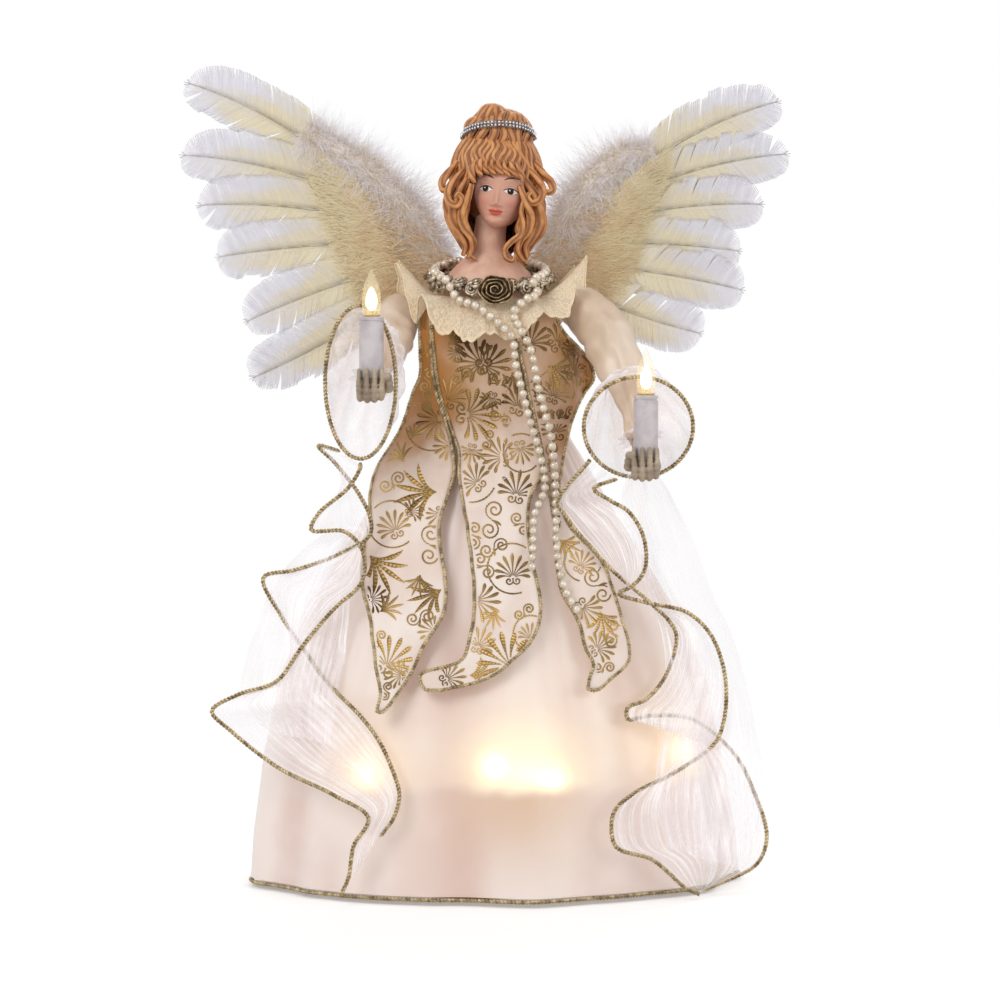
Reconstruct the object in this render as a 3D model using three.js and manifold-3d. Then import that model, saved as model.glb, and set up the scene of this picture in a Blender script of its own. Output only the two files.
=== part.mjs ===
import * as THREE from 'three';
import { mergeVertices } from 'three/addons/utils/BufferGeometryUtils.js';
import Module from 'manifold-3d';

// A lighted angel tree topper, in millimetres, +Z up, standing on the rim of its tree cone.
// The front looks along -Y. Left and right are those of someone who looks at the front.

const wasm = await Module();
wasm.setup();

// Scale of the photograph: a depth is how far a point stands in front of the body's axis
const pixelSize = 0.41;
const axisColumn = 490;
const eyeRow = 446;
const floorRow = 880.15;
const eyeDistancePixels = 3658.5;
const eyeDistance = eyeDistancePixels * pixelSize;
const eyeSlopeShare = 0.035;

// Fits
const seatGap = 0.3;
const cutOverrun = 2;

// Tree cone
const coneRimRadius = 52;
const coneTopRadius = 9;
const coneHeight = 198;
const coneWall = 1.5;
const coneFlangeWidth = 4;
const coneFlangeThickness = 1.8;
const coneSegments = 30;

// Lamps in the skirt
const lampCount = 6;
const lampHeight = 50;
const lampTurnShare = 0.2;
const holderRadius = 3.4;
const holderDepth = 7;
const holderCollarRadius = 4.8;
const holderCollarThickness = 1.6;
const lampBaseRadius = 2.1;
const lampBaseLength = 5;
const lampGlassRadius = 2.7;
const lampGlassLength = 12.5;

// Torso
const torsoHalfWidth = 28.5;
const torsoHalfDepth = 18;
const coneLap = 24;
const torsoRise = 62;
const torsoBottom = coneHeight - coneLap;
const torsoTop = torsoBottom + torsoRise;
const torsoPower = 2.4;
const backPadHalfWidth = 9;
const backPadDepth = 2;

// Satin skirt with its wired hem
const waistRise = 14;
const waistHeight = torsoBottom + waistRise;
const hemHeight = 3.6;
const hemHalfWidth = 98;
const hemHalfDepth = 76;
const skirtThickness = 1;
const foldDepth = 3.2;
const foldCount = 9;
const hemCordRadius = 0.9;

// The eye's row lies just under the waist, and the rows below it follow the gown down to the floor
const eyeDrop = 10;
const eyeHeight = waistHeight - eyeDrop;
const pixelFall = eyeHeight / (floorRow - eyeRow);

// Printed overdress
const panelThickness = 0.9;
const panelEdgeThickness = 2;
const panelSpread = 6;
const panelLift = 3.6;
const panelPower = 2.3;
const pleatDepth = 0.8;
const pleatPitch = 15;

// Porcelain bust
const bustBaseHalfWidth = 22;
const bustDepthShare = 0.76;
const bustRise = 26;
const neckRadius = 6.8;
const neckLeanAcross = -0.4;
const headAcross = 2.4;
const headRise = 48;
const headCentreHeight = torsoTop + headRise;
const faceHalfWidth = 10.6;
const hairHalfWidth = 18.5;
const tiaraRadius = 1.25;
const tiaraRise = 2.6;

// Collar, braid and rose
const collarStand = 3.2;
const collarHalfWidth = 38;
const collarFrontDepth = 31;
const collarBackDepth = 18.6;
const collarThickness = 0.8;
const collarRuffleDepth = 1.8;
const collarRuffles = 11;
const collarRise = 10;
const braidRadius = 2.3;
const braidRise = 10.5;
const braidHeight = torsoTop + braidRise;
const braidDip = 4.5;
const roseRadius = 7.4;
const roseThickness = 8;

// Pearls
const pearlRadius = 1.45;
const pearlPitch = 3.7;
const pearlThreadRadius = 0.45;
const strandHang = 33.5;

// Arms with their candles
const shoulderAcross = 38;
const shoulderSet = 1;
const shoulderRadius = 9.4;
const wristRadius = 5;
const candleRadius = 4.85;
const candleLength = 30;
const candleBoreRadius = 3.5;
const candleBoreDepth = 14;
const candleDepth = 55;
const flameBaseRadius = 3.1;
const flameBaseLength = 12;
const flameGlassRadius = 3.7;
const flameGlassLength = 19;
const palmHalfWidth = 9.5;
const leftShoulderDrop = 5;
const leftCandleReach = 46.8;
const leftCandleDrop = 5;
const leftMouthDepth = 42;
const leftMouthHalfWidth = 16;
const leftMouthHalfHeight = 30.5;
const rightShoulderDrop = 2;
const rightCandleReach = 61.6;
const rightCandleDrop = 36;
const rightMouthDepth = 44;
const rightMouthHalfWidth = 22;
const rightMouthHalfHeight = 20;

// Organza bells and drapes with wired cord edges
const bellThickness = 0.8;
const drapeThickness = 0.8;
const cordRadius = 0.95;
const drapeClearance = 2.6;
const drapeHang = 46;
const outerCordLift = 4.5;
const floorClearance = 0.8;

// Wings
const wingHingeAcross = 8;
const hingeDrop = 16;
const wingHingeBottom = torsoTop - hingeDrop;
const cardThickness = 1.6;
const cardSpan = 54;
const cardRise = 72;
const hingeTabHeight = 14;
const quillThickness = 0.9;
const vaneThickness = 0.45;
const featherHalfWidth = 9.6;
const featherSweep = 8;
const featherLoose = 0.3;
const maraboutHalfDepth = 4.4;
const maraboutRadius = 9.4;

const finishes = {
  cone: { color: 0xf3f1ec, roughness: 0.5, metalness: 0 },
  holder: { color: 0xefece2, roughness: 0.45, metalness: 0 },
  lampGlass: { color: 0xffe2a0, roughness: 0.08, metalness: 0 },
  satin: { color: 0xf3ded3, roughness: 0.38, metalness: 0 },
  printedSheer: { color: 0xe9d2bd, roughness: 0.5, metalness: 0.1 },
  goldCord: { color: 0x9c8455, roughness: 0.4, metalness: 0.7 },
  porcelain: { color: 0xe6b896, roughness: 0.55, metalness: 0 },
  rhinestone: { color: 0xc9ccd2, roughness: 0.2, metalness: 0.9 },
  lace: { color: 0xe6d5b4, roughness: 0.7, metalness: 0.1 },
  braid: { color: 0x8f846c, roughness: 0.4, metalness: 0.8 },
  ribbon: { color: 0xa07a45, roughness: 0.35, metalness: 0.7 },
  pearl: { color: 0xf6f0e4, roughness: 0.25, metalness: 0.05 },
  candle: { color: 0xf4f3f5, roughness: 0.4, metalness: 0 },
  organza: { color: 0xf4f4f7, roughness: 0.45, metalness: 0 },
  feather: { color: 0xf1ecd6, roughness: 0.8, metalness: 0 },
  card: { color: 0xefece4, roughness: 0.9, metalness: 0 },
};

const angel = new THREE.Group();

function addPiece(name, geometry, finish) {
  const piece = new THREE.Mesh(geometry, new THREE.MeshStandardMaterial(finishes[finish]));
  piece.name = name;
  angel.add(piece);
  return piece;
}

// Geometry helpers

function point(x, y, z) {
  return new THREE.Vector3(x, y, z);
}

function photoPoint(column, row, depth) {
  const nearShare = (eyeDistance - depth) / eyeDistance;
  const x = (column - axisColumn) * pixelSize * nearShare;
  const rowHeight = row > eyeRow ? pixelFall : pixelSize;
  const z = eyeHeight + (eyeRow - row) * rowHeight * nearShare + depth * eyeSlopeShare;
  return point(x, -depth, z);
}

function readShares(table, at) {
  const last = table.length - 1;
  if (at <= table[0][0]) return table[0][1];
  if (at >= table[last][0]) return table[last][1];
  const k = table.findIndex((entry) => entry[0] >= at);
  const [fromAt, fromValue] = table[k - 1];
  const [toAt, toValue] = table[k];
  return fromValue + ((at - fromAt) / (toAt - fromAt)) * (toValue - fromValue);
}

function mix(from, to, share) {
  return from + (to - from) * share;
}

function signedVolume(positions, index) {
  let total = 0;
  const [a, b, c] = [point(0, 0, 0), point(0, 0, 0), point(0, 0, 0)];
  for (let i = 0; i < index.length; i += 3) {
    a.fromArray(positions, index[i] * 3);
    b.fromArray(positions, index[i + 1] * 3);
    c.fromArray(positions, index[i + 2] * 3);
    total += a.dot(b.cross(c));
  }
  return total;
}

// A closed skin through a row of stations, each a loop of the same number of points
function loft(stations, closed = false) {
  const count = stations[0].length;
  const positions = stations.flat().flatMap((p) => [p.x, p.y, p.z]);
  const index = [];
  const quad = (a, b, c, d) => index.push(a, b, c, a, c, d);
  const spans = closed ? stations.length : stations.length - 1;
  for (let i = 0; i < spans; i++) {
    const here = i * count;
    const next = ((i + 1) % stations.length) * count;
    for (let j = 0; j < count; j++) {
      const side = (j + 1) % count;
      quad(here + j, here + side, next + side, next + j);
    }
  }
  const end = (stations.length - 1) * count;
  for (let j = 0; !closed && j < count / 2 - 1; j++) {
    quad(j, count - 1 - j, count - 2 - j, j + 1);
    quad(end + j, end + j + 1, end + count - 2 - j, end + count - 1 - j);
  }
  if (signedVolume(positions, index) < 0) index.reverse();
  const geometry = new THREE.BufferGeometry();
  geometry.setAttribute('position', new THREE.Float32BufferAttribute(positions, 3));
  geometry.setIndex(index);
  return geometry;
}

// A sheet of cloth: rows of points on its middle surface, thickened to both sides
function sheetSolid(grid, thicknessAt, closed = false) {
  const rows = grid.length;
  const columns = grid[0].length;
  const stations = grid.map((row, i) => {
    const before = closed ? grid[(i + rows - 1) % rows] : grid[Math.max(0, i - 1)];
    const after = closed ? grid[(i + 1) % rows] : grid[Math.min(rows - 1, i + 1)];
    const normals = row.map((p, j) => {
      const along = after[j].clone().sub(before[j]);
      const across = row[Math.min(columns - 1, j + 1)].clone().sub(row[Math.max(0, j - 1)]);
      return along.cross(across).normalize().multiplyScalar(thicknessAt(i, j) / 2);
    });
    const front = row.map((p, j) => p.clone().add(normals[j]));
    const back = row.map((p, j) => p.clone().sub(normals[j]));
    return [...front, ...back.reverse()];
  });
  return loft(stations, closed);
}

function sectionAt(centre, across, up, radii) {
  return radii.map(([acrossRadius, upRadius]) => centre.clone()
    .addScaledVector(across, acrossRadius)
    .addScaledVector(up, upRadius));
}

function roundSection(radius, sides, depthRadius = radius) {
  return Array.from({ length: sides }, (_, k) => {
    const turn = (k / sides) * Math.PI * 2;
    return [radius * Math.cos(turn), depthRadius * Math.sin(turn)];
  });
}

// A closed cord ring whose section leans away from the ring's centre
function ringTube(points, centre, radius, sides) {
  const count = points.length;
  const stations = points.map((p, k) => {
    const tangent = points[(k + 1) % count].clone().sub(points[(k + count - 1) % count]).normalize();
    const outward = p.clone().sub(centre);
    outward.addScaledVector(tangent, -outward.dot(tangent)).normalize();
    return sectionAt(p, outward, tangent.clone().cross(outward), roundSection(radius, sides));
  });
  return loft(stations, true);
}

const cordSides = 5;

function cordAlong(points, stepsPerPoint, radius = cordRadius) {
  const path = new THREE.CatmullRomCurve3(points, false, 'centripetal');
  const section = new THREE.Shape(
    roundSection(radius, cordSides).map(([x, y]) => new THREE.Vector2(x, y)),
  );
  return new THREE.ExtrudeGeometry(section, {
    steps: points.length * stepsPerPoint,
    extrudePath: path,
    bevelEnabled: false,
  });
}

function ellipsoid(centre, halves, wide, high) {
  const ball = new THREE.SphereGeometry(1, wide, high);
  ball.rotateX(Math.PI / 2);
  ball.scale(halves.x, halves.y, halves.z);
  ball.translate(centre.x, centre.y, centre.z);
  return ball;
}

function toSolid(geometry) {
  const bare = geometry.clone();
  bare.deleteAttribute('normal');
  bare.deleteAttribute('uv');
  const merged = mergeVertices(bare, 1e-4);
  return new wasm.Manifold(new wasm.Mesh({
    numProp: 3,
    vertProperties: Float32Array.from(merged.attributes.position.array),
    triVerts: Uint32Array.from(merged.index.array),
  }));
}

function fromSolid(solid) {
  const mesh = solid.getMesh();
  const geometry = new THREE.BufferGeometry();
  const positions = [];
  for (let i = 0; i < mesh.vertProperties.length; i += mesh.numProp) {
    positions.push(...mesh.vertProperties.slice(i, i + 3));
  }
  geometry.setAttribute('position', new THREE.Float32BufferAttribute(positions, 3));
  geometry.setIndex(Array.from(mesh.triVerts));
  return geometry;
}

function joined(geometries) {
  return geometries.map(toSolid).reduce((all, next) => all.add(next));
}

// Stands a lathe profile on the wall of the cone, pointing out of it
function standOnWall(geometry, turn, height, lean) {
  const outward = point(Math.cos(turn) * Math.cos(lean), Math.sin(turn) * Math.cos(lean), Math.sin(lean));
  const reach = coneRadiusAt(height);
  const foot = point(Math.cos(turn) * reach, Math.sin(turn) * reach, height);
  geometry.applyQuaternion(new THREE.Quaternion().setFromUnitVectors(point(0, 0, 1), outward));
  geometry.translate(foot.x, foot.y, foot.z);
  return geometry;
}

function latheFrom(profile, segments) {
  const turned = new THREE.LatheGeometry(profile.map(([r, z]) => new THREE.Vector2(r, z)), segments);
  turned.rotateX(Math.PI / 2);
  return turned;
}

// Tree cone: open below for the tip of the tree, with a flat rim to stand on

function coneRadiusAt(height) {
  return mix(coneRimRadius, coneTopRadius, height / coneHeight);
}

const coneLean = Math.atan((coneRimRadius - coneTopRadius) / coneHeight);

function makeTreeCone() {
  const shell = latheFrom([
    [coneRimRadius - coneWall, 0],
    [coneRimRadius + coneFlangeWidth, 0],
    [coneRimRadius + coneFlangeWidth, coneFlangeThickness],
    [coneRadiusAt(coneFlangeThickness), coneFlangeThickness],
    [coneTopRadius, coneHeight],
    [0, coneHeight],
    [0, coneHeight - coneWall],
    [coneTopRadius - coneWall, coneHeight - coneWall],
    [coneRimRadius - coneWall, 0],
  ], coneSegments);
  let cone = toSolid(shell);
  for (const turn of lampTurns()) {
    const bit = latheFrom([
      [0, -holderDepth],
      [holderRadius + seatGap, -holderDepth],
      [holderRadius + seatGap, holderDepth],
      [0, holderDepth],
    ], 8);
    cone = cone.subtract(toSolid(standOnWall(bit, turn, lampHeight, coneLean)));
  }
  addPiece('tree_cone', fromSolid(cone), 'cone');
}

// Lamps: a holder pushed through the cone's wall, and a clear push-in lamp in each

function lampTurns() {
  const step = (Math.PI * 2) / lampCount;
  return Array.from({ length: lampCount }, (_, k) => -Math.PI / 2 + (k - 1 / 2 + lampTurnShare) * step);
}

function makeLamps() {
  const boreRadius = lampBaseRadius + seatGap;
  const holderFace = holderCollarThickness + seatGap;
  lampTurns().forEach((turn, k) => {
    const holder = latheFrom([
      [0, -holderDepth],
      [holderRadius, -holderDepth],
      [holderRadius, seatGap],
      [holderCollarRadius, seatGap],
      [holderCollarRadius, holderFace],
      [boreRadius, holderFace],
      [boreRadius, holderFace - lampBaseLength - seatGap],
      [0, holderFace - lampBaseLength - seatGap],
    ], 8);
    addPiece(`skirt_lamp_holder_${k + 1}`, standOnWall(holder, turn, lampHeight, coneLean), 'holder');
    const glassFoot = holderFace + seatGap;
    const lamp = latheFrom([
      [0, holderFace - lampBaseLength],
      [lampBaseRadius, holderFace - lampBaseLength],
      [lampBaseRadius, glassFoot],
      [lampGlassRadius, glassFoot],
      [lampGlassRadius, glassFoot + lampGlassLength * 0.55],
      [lampGlassRadius * 0.55, glassFoot + lampGlassLength * 0.85],
      [0, glassFoot + lampGlassLength],
    ], 7);
    addPiece(`skirt_lamp_${k + 1}`, standOnWall(lamp, turn, lampHeight, coneLean), 'lampGlass');
  });
}

// Gown form: half sizes of the torso and of the skirt at a height

const torsoShares = [[0, 0.94], [0.25, 0.97], [0.5, 1], [0.78, 1], [0.9, 0.95], [1, 0.82]];
const flareShares = [
  [0, 0], [0.08, 0.13], [0.19, 0.3], [0.31, 0.5], [0.43, 0.68], [0.585, 0.85], [0.74, 0.93], [0.9, 0.985], [1, 1],
];

function torsoHalf(height) {
  const share = readShares(torsoShares, (height - torsoBottom) / (torsoTop - torsoBottom));
  return { wide: torsoHalfWidth * share, deep: torsoHalfDepth * share };
}

function skirtHalf(height) {
  const waist = torsoHalf(waistHeight);
  const offset = seatGap + skirtThickness / 2;
  const flare = readShares(flareShares, (waistHeight - height) / (waistHeight - hemHeight));
  return {
    wide: mix(waist.wide + offset, hemHalfWidth, flare),
    deep: mix(waist.deep + offset, hemHalfDepth, flare),
  };
}

function gownHalf(height) {
  return height > waistHeight ? torsoHalf(height) : skirtHalf(height);
}

// The squareness of the gown's section, which softens to an ellipse a little below the waist
function roundness(height) {
  const fallShare = Math.max(0, Math.min(1, (waistHeight - height) / torsoHalfDepth));
  return mix(torsoPower, 2, fallShare);
}

function formPoint(turn, half, power, height) {
  const [c, s] = [Math.cos(turn), Math.sin(turn)];
  const x = half.wide * Math.sign(c) * Math.abs(c) ** (2 / power);
  const y = half.deep * Math.sign(s) * Math.abs(s) ** (2 / power);
  return point(x, y, height);
}

function ripple(turn, height) {
  const share = Math.max(0, (waistHeight - height) / (waistHeight - hemHeight));
  const broad = Math.cos(foldCount * turn + Math.sin(2 * turn));
  const narrow = Math.cos((foldCount + 4) * turn);
  return foldDepth * share ** 1.3 * (0.65 * broad + 0.35 * narrow);
}

function skirtPoint(turn, height, offset) {
  const half = skirtHalf(height);
  const out = offset + ripple(turn, height);
  return formPoint(turn, { wide: half.wide + out, deep: half.deep + out }, roundness(height), height);
}

// How far in front of the axis a thing at x must be to clear the skirt by a distance
function depthClearOfSkirt(x, height, clearance) {
  const half = gownHalf(height);
  const out = clearance + foldDepth + skirtThickness / 2;
  const reach = Math.min(1, Math.abs(x) / (half.wide + out));
  return (half.deep + out) * Math.sqrt(1 - reach * reach);
}

function makeTorso() {
  const rings = 7;
  const sides = 20;
  const stations = Array.from({ length: rings }, (_, i) => {
    const height = mix(torsoBottom, torsoTop, i / (rings - 1));
    return Array.from({ length: sides }, (_, k) => (
      formPoint(((k + 1 / 2) / sides) * Math.PI * 2, torsoHalf(height), torsoPower, height)));
  });
  const pad = new THREE.BoxGeometry(backPadHalfWidth * 2, torsoHalfDepth + backPadDepth, hingeTabHeight);
  pad.translate(0, (torsoHalfDepth + backPadDepth) / 2, wingHingeBottom + hingeTabHeight / 2);
  const bore = latheFrom([
    [0, torsoBottom - cutOverrun],
    [coneRadiusAt(torsoBottom - cutOverrun) + seatGap, torsoBottom - cutOverrun],
    [coneTopRadius + seatGap, coneHeight + seatGap],
    [0, coneHeight + seatGap],
  ], coneSegments);
  addPiece('torso', fromSolid(joined([loft(stations), pad]).subtract(toSolid(bore))), 'satin');
}

const skirtColumns = 45;
const skirtRowShares = [0, 0.09, 0.22, 0.38, 0.56, 0.77, 1];

function makeSkirt() {
  const grid = Array.from({ length: skirtColumns }, (_, k) => {
    const turn = (k / skirtColumns) * Math.PI * 2;
    return skirtRowShares.map((share) => skirtPoint(turn, mix(waistHeight, hemHeight, share), 0));
  });
  addPiece('satin_skirt', sheetSolid(grid, () => skirtThickness, true), 'satin');
  const cordHeight = hemHeight - seatGap - hemCordRadius;
  const ring = grid.map((column) => {
    const hem = column[column.length - 1];
    return point(hem.x, hem.y, cordHeight);
  });
  addPiece('hem_cord', ringTube(ring, point(0, 0, cordHeight), hemCordRadius, 5), 'goldCord');
}

// Overdress: three printed panels that hang from the neckline, each row a pixel row, its left and its right

const leftPanelPixels = [
  [316, 420, 429], [345, 420, 431], [375, 420, 433], [392, 413, 436], [430, 400, 448], [470, 376, 454],
  [495, 370, 448], [520, 370, 440], [545, 364, 440], [585, 362, 446], [615, 369, 443], [645, 373, 424],
  [670, 376, 413], [695, 380, 397], [712, 376, 384],
];
const centrePanelPixels = [
  [316, 432, 510], [350, 434, 516], [395, 440, 524], [430, 452, 533], [452, 459, 538], [475, 459, 542],
  [495, 462, 531], [520, 466, 528], [555, 471, 531], [585, 474, 538], [610, 474, 541], [628, 472, 538],
  [645, 468, 529], [662, 460, 511], [674, 421, 497], [682, 420, 480], [690, 424, 446],
];
const rightPanelPixels = [
  [316, 513, 560], [330, 516, 562], [345, 519, 576], [362, 522, 590], [378, 526, 594], [392, 528, 585],
  [415, 534, 574], [445, 541, 566], [475, 546, 561], [500, 551, 560], [525, 554, 569], [545, 555, 587],
  [565, 557, 604], [592, 562, 614], [615, 575, 621], [632, 582, 626], [650, 586, 630], [664, 594, 628],
  [678, 590, 613], [690, 588, 600],
];
const panelLiftShares = [[0, 1], [0.62, 1], [0.86, 0.7], [0.94, 0.35], [1, 0.35]];

function panelDepth(x, height) {
  const half = gownHalf(height);
  const lift = panelLift * readShares(panelLiftShares, height / torsoTop) + panelThickness;
  const wide = half.wide + panelSpread + lift;
  const reach = Math.min(1, Math.abs(x) / wide);
  const fall = Math.max(0, Math.min(1, (waistHeight - height) / waistHeight));
  const pleat = pleatDepth * (1 + fall) * (1 - Math.cos((x / pleatPitch) * Math.PI * 2)) / 2;
  return (half.deep + lift) * (1 - reach ** panelPower) ** (1 / panelPower) + pleat;
}

function panelPoint(column, row) {
  let depth = panelDepth((column - axisColumn) * pixelSize, eyeHeight + (eyeRow - row) * pixelSize);
  for (let pass = 0; pass < 2; pass++) {
    const guess = photoPoint(column, row, depth);
    depth = panelDepth(guess.x, guess.z);
  }
  return photoPoint(column, row, depth);
}

function makePanel(name, pixels, columns) {
  const grid = pixels.map(([row, left, right]) => (
    Array.from({ length: columns }, (_, j) => panelPoint(mix(left, right, j / (columns - 1)), row))));
  const lastRow = pixels.length - 1;
  const thicknessAt = (i, j) => {
    const edged = j === 0 || j === columns - 1 || i === lastRow;
    return edged && i > 0 ? panelEdgeThickness : panelThickness;
  };
  addPiece(name, sheetSolid(grid, thicknessAt), 'printedSheer');
}

// Bust: shoulder plate, neck, face and moulded hair in one casting

const bustShares = [[0, 1], [0.14, 0.99], [0.32, 0.9], [0.5, 0.74], [0.68, 0.52], [0.82, 0.36], [1, 0.31]];

function bustHalf(height) {
  const share = readShares(bustShares, (height - torsoTop - seatGap) / bustRise);
  const round = readShares([[0.31, 1], [0.52, 0.85], [1, bustDepthShare]], share);
  return { wide: bustBaseHalfWidth * share, deep: bustBaseHalfWidth * share * round };
}

// Hair in shares of its half width: across, forward and up from the head's centre, then three half sizes
const hairCapShares = [0, -0.05, 0.16, 1, 0.92, 1];
const hairKnotShares = [0.05, 0, 1.08, 0.7, 0.68, 0.76];
const curlShares = [
  [-0.92, 0.16, -0.05, 0.28, 0.3, 0.31],
  [1, 0.16, 0.03, 0.3, 0.3, 0.29],
  [-0.78, 0.16, -0.49, 0.25, 0.32, 0.36],
  [-0.66, 0.19, -0.86, 0.25, 0.29, 0.38],
  [-0.59, 0.22, -1.24, 0.19, 0.24, 0.32],
  [0.78, 0.19, -0.49, 0.28, 0.35, 0.38],
  [0.69, 0.24, -0.92, 0.3, 0.32, 0.41],
  [0.62, 0.3, -1.35, 0.24, 0.26, 0.36],
  [0.36, 0.37, -1.33, 0.16, 0.18, 0.26],
  [-0.51, 0.49, 0.49, 0.35, 0.36, 0.32],
  [0.57, 0.49, 0.46, 0.36, 0.36, 0.32],
  [0.05, 0.67, 0.62, 0.43, 0.27, 0.3],
];
// Face and nose in the same way, in shares of the face's half width
const faceShares = [0, 0.61, -0.38, 1, 1.09, 1.23];
const noseShares = [-0.09, 1.7, -0.53, 0.14, 0.15, 0.25];

function headPiece(shares, unit, wide, high) {
  const [across, forward, up, halfWide, halfDeep, halfHigh] = shares.map((share) => share * unit);
  const centre = point(headAcross + across, -forward, headCentreHeight + up);
  return ellipsoid(centre, point(halfWide, halfDeep, halfHigh), wide, high);
}

function makeBust() {
  const rings = 7;
  const sides = 16;
  const base = torsoTop + seatGap;
  const stations = Array.from({ length: rings }, (_, i) => {
    const height = base + (bustRise * i) / (rings - 1);
    const half = bustHalf(height);
    const lean = neckLeanAcross * (i / (rings - 1));
    return Array.from({ length: sides }, (_, k) => (
      formPoint((k / sides) * Math.PI * 2, half, 2, height).add(point(lean, 0, 0))));
  });
  const neck = latheFrom([
    [0, 0], [neckRadius, 0], [neckRadius, bustRise], [0, bustRise],
  ], 10);
  neck.translate(neckLeanAcross, 0, base + bustRise * 0.6);
  const head = joined([
    headPiece(faceShares, faceHalfWidth, 14, 10),
    headPiece(noseShares, faceHalfWidth, 5, 4),
    headPiece(hairCapShares, hairHalfWidth, 14, 9),
    headPiece(hairKnotShares, hairHalfWidth, 12, 7),
    ...curlShares.map((shares) => headPiece(shares, hairHalfWidth, 6, 5)),
    loft(stations),
    neck,
  ]);
  addPiece('head_bust', fromSolid(head), 'porcelain');
}

// A beaded band round the knot of hair, tilted up at the front
function makeTiara() {
  const [across, forward, up, halfWide] = hairKnotShares.map((share) => share * hairHalfWidth);
  const centre = point(headAcross + across, -forward, headCentreHeight + up + tiaraRadius);
  const reach = halfWide + seatGap + tiaraRadius;
  const steps = 22;
  const ring = Array.from({ length: steps }, (_, k) => {
    const turn = (k / steps) * Math.PI * 2;
    const [c, s] = [Math.cos(turn), Math.sin(turn)];
    return centre.clone().add(point(reach * c, reach * s, -tiaraRise * s));
  });
  addPiece('tiara', ringTube(ring, centre, tiaraRadius, 5), 'rhinestone');
}

// Collar: a standing lace ruffle round the shoulder plate

const collarInnerHeight = torsoTop + collarStand;
const sideRiseShare = 0.98;
const frontFallShare = 2.33;
const backFallShare = 0.16;
const backCalmShare = 0.85;

function collarPoint(turn, share, lift) {
  const inner = bustHalf(collarInnerHeight);
  const [c, s] = [Math.cos(turn), Math.sin(turn)];
  const offset = seatGap + collarThickness / 2;
  const frontShare = Math.max(0, -s);
  const backShare = Math.max(0, s);
  const outerDeep = s < 0 ? collarFrontDepth : collarBackDepth;
  const calm = 1 - backCalmShare * backShare;
  const ruffle = collarRuffleDepth * calm * share * share * Math.cos(collarRuffles * turn);
  const wide = mix(inner.wide + offset, collarHalfWidth, share) + ruffle;
  const deep = mix(inner.deep + offset, outerDeep, share) + ruffle;
  const fallShare = frontFallShare * frontShare * frontShare + backFallShare * backShare;
  const rise = collarRise * share ** 1.2 * (sideRiseShare - fallShare);
  return point(wide * c, deep * s, collarInnerHeight + rise + ruffle + lift);
}

function makeCollar() {
  const columns = collarRuffles * 3;
  const grid = Array.from({ length: columns }, (_, k) => (
    [0, 0.35, 0.7, 1].map((share) => collarPoint((k / columns) * Math.PI * 2, share, 0))));
  addPiece('lace_collar', sheetSolid(grid, () => collarThickness, true), 'lace');
}

function braidPoint(turn) {
  const height = braidHeight + braidDip * Math.sin(turn);
  const half = bustHalf(height - braidRadius);
  const out = seatGap + braidRadius;
  return formPoint(turn, { wide: half.wide + out, deep: half.deep + out }, 2, height);
}

function makeBraid() {
  const ring = Array.from({ length: 22 }, (_, k) => braidPoint((k / 22) * Math.PI * 2));
  addPiece('neck_braid', ringTube(ring, point(0, 0, braidHeight), braidRadius, 6), 'braid');
}

// Ribbon rose: a coiled heart and two rings of petals, on the front of the braid
function makeRose() {
  const front = bustHalf(braidHeight - braidDip - braidRadius).deep + seatGap + braidRadius * 2;
  const centre = point(headAcross, -(front + seatGap + roseThickness / 2), braidHeight - braidDip);
  const petals = [ellipsoid(centre, point(roseRadius * 0.62, roseThickness / 2, roseRadius * 0.5), 8, 6)];
  for (const [count, reachShare, sizeShare, forwardShare] of [[5, 0.62, 0.46, 0.5], [4, 0.3, 0.34, 0.12]]) {
    for (let k = 0; k < count; k++) {
      const turn = (k / count) * Math.PI * 2 + forwardShare;
      const petal = point(
        centre.x + roseRadius * reachShare * Math.cos(turn),
        centre.y - roseThickness * (0.5 - forwardShare) * 0.6,
        centre.z + roseRadius * reachShare * 0.8 * Math.sin(turn),
      );
      const halves = point(roseRadius * sizeShare, roseThickness * 0.24, roseRadius * sizeShare * 0.86);
      petals.push(ellipsoid(petal, halves, 6, 4));
    }
  }
  addPiece('collar_rose', fromSolid(joined(petals)), 'ribbon');
}

// Pearls: one string that hangs in two strands and loops over the collar

const leftStrandPixels = [
  [532, 567], [533, 545], [535, 515], [545, 488], [543, 468], [537, 444], [529, 418], [522, 390], [515, 362],
  [512, 338],
];
const rightStrandPixels = [
  [521, 330], [530, 348], [535, 372], [541, 400], [549, 428], [553, 455], [555, 482], [556, 512], [556, 542],
  [560, 572], [567, 594], [577, 610],
];
// On the collar: round the neck and out along the collar, from the left strand to the braid and back
const collarLoopShares = [[-0.505, 0.86], [-0.56, 0.66], [-0.64, 0.52]];
// On the braid: round the neck and round the braid's own section, from outwards to upwards
const braidLoopShares = [
  [-0.72, 0.2], [-0.8, 0.36], [-0.92, 0.46], [-1.08, 0.5], [-1.25, 0.5], [-1.42, 0.5], [-1.58, 0.5], [-1.75, 0.5],
  [-1.92, 0.5], [-2.08, 0.46], [-2.2, 0.36], [-2.28, 0.2],
];
// The right half of the loop mirrors the left half about this turn
const mirrorTurnShare = -1.46;

function strandPoint([column, row]) {
  const guess = photoPoint(column, row, strandHang);
  const clear = panelDepth(guess.x, guess.z) + panelEdgeThickness / 2 + pearlRadius + seatGap + pleatDepth;
  return photoPoint(column, row, Math.max(strandHang, clear));
}

function pearlOnBraid([turnShare, leanShare]) {
  const turn = turnShare * Math.PI;
  const reach = braidRadius + pearlRadius + seatGap;
  const outward = point(Math.cos(turn), Math.sin(turn), 0);
  return braidPoint(turn)
    .addScaledVector(outward, reach * Math.cos(leanShare * Math.PI))
    .add(point(0, 0, reach * Math.sin(leanShare * Math.PI)));
}

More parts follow.
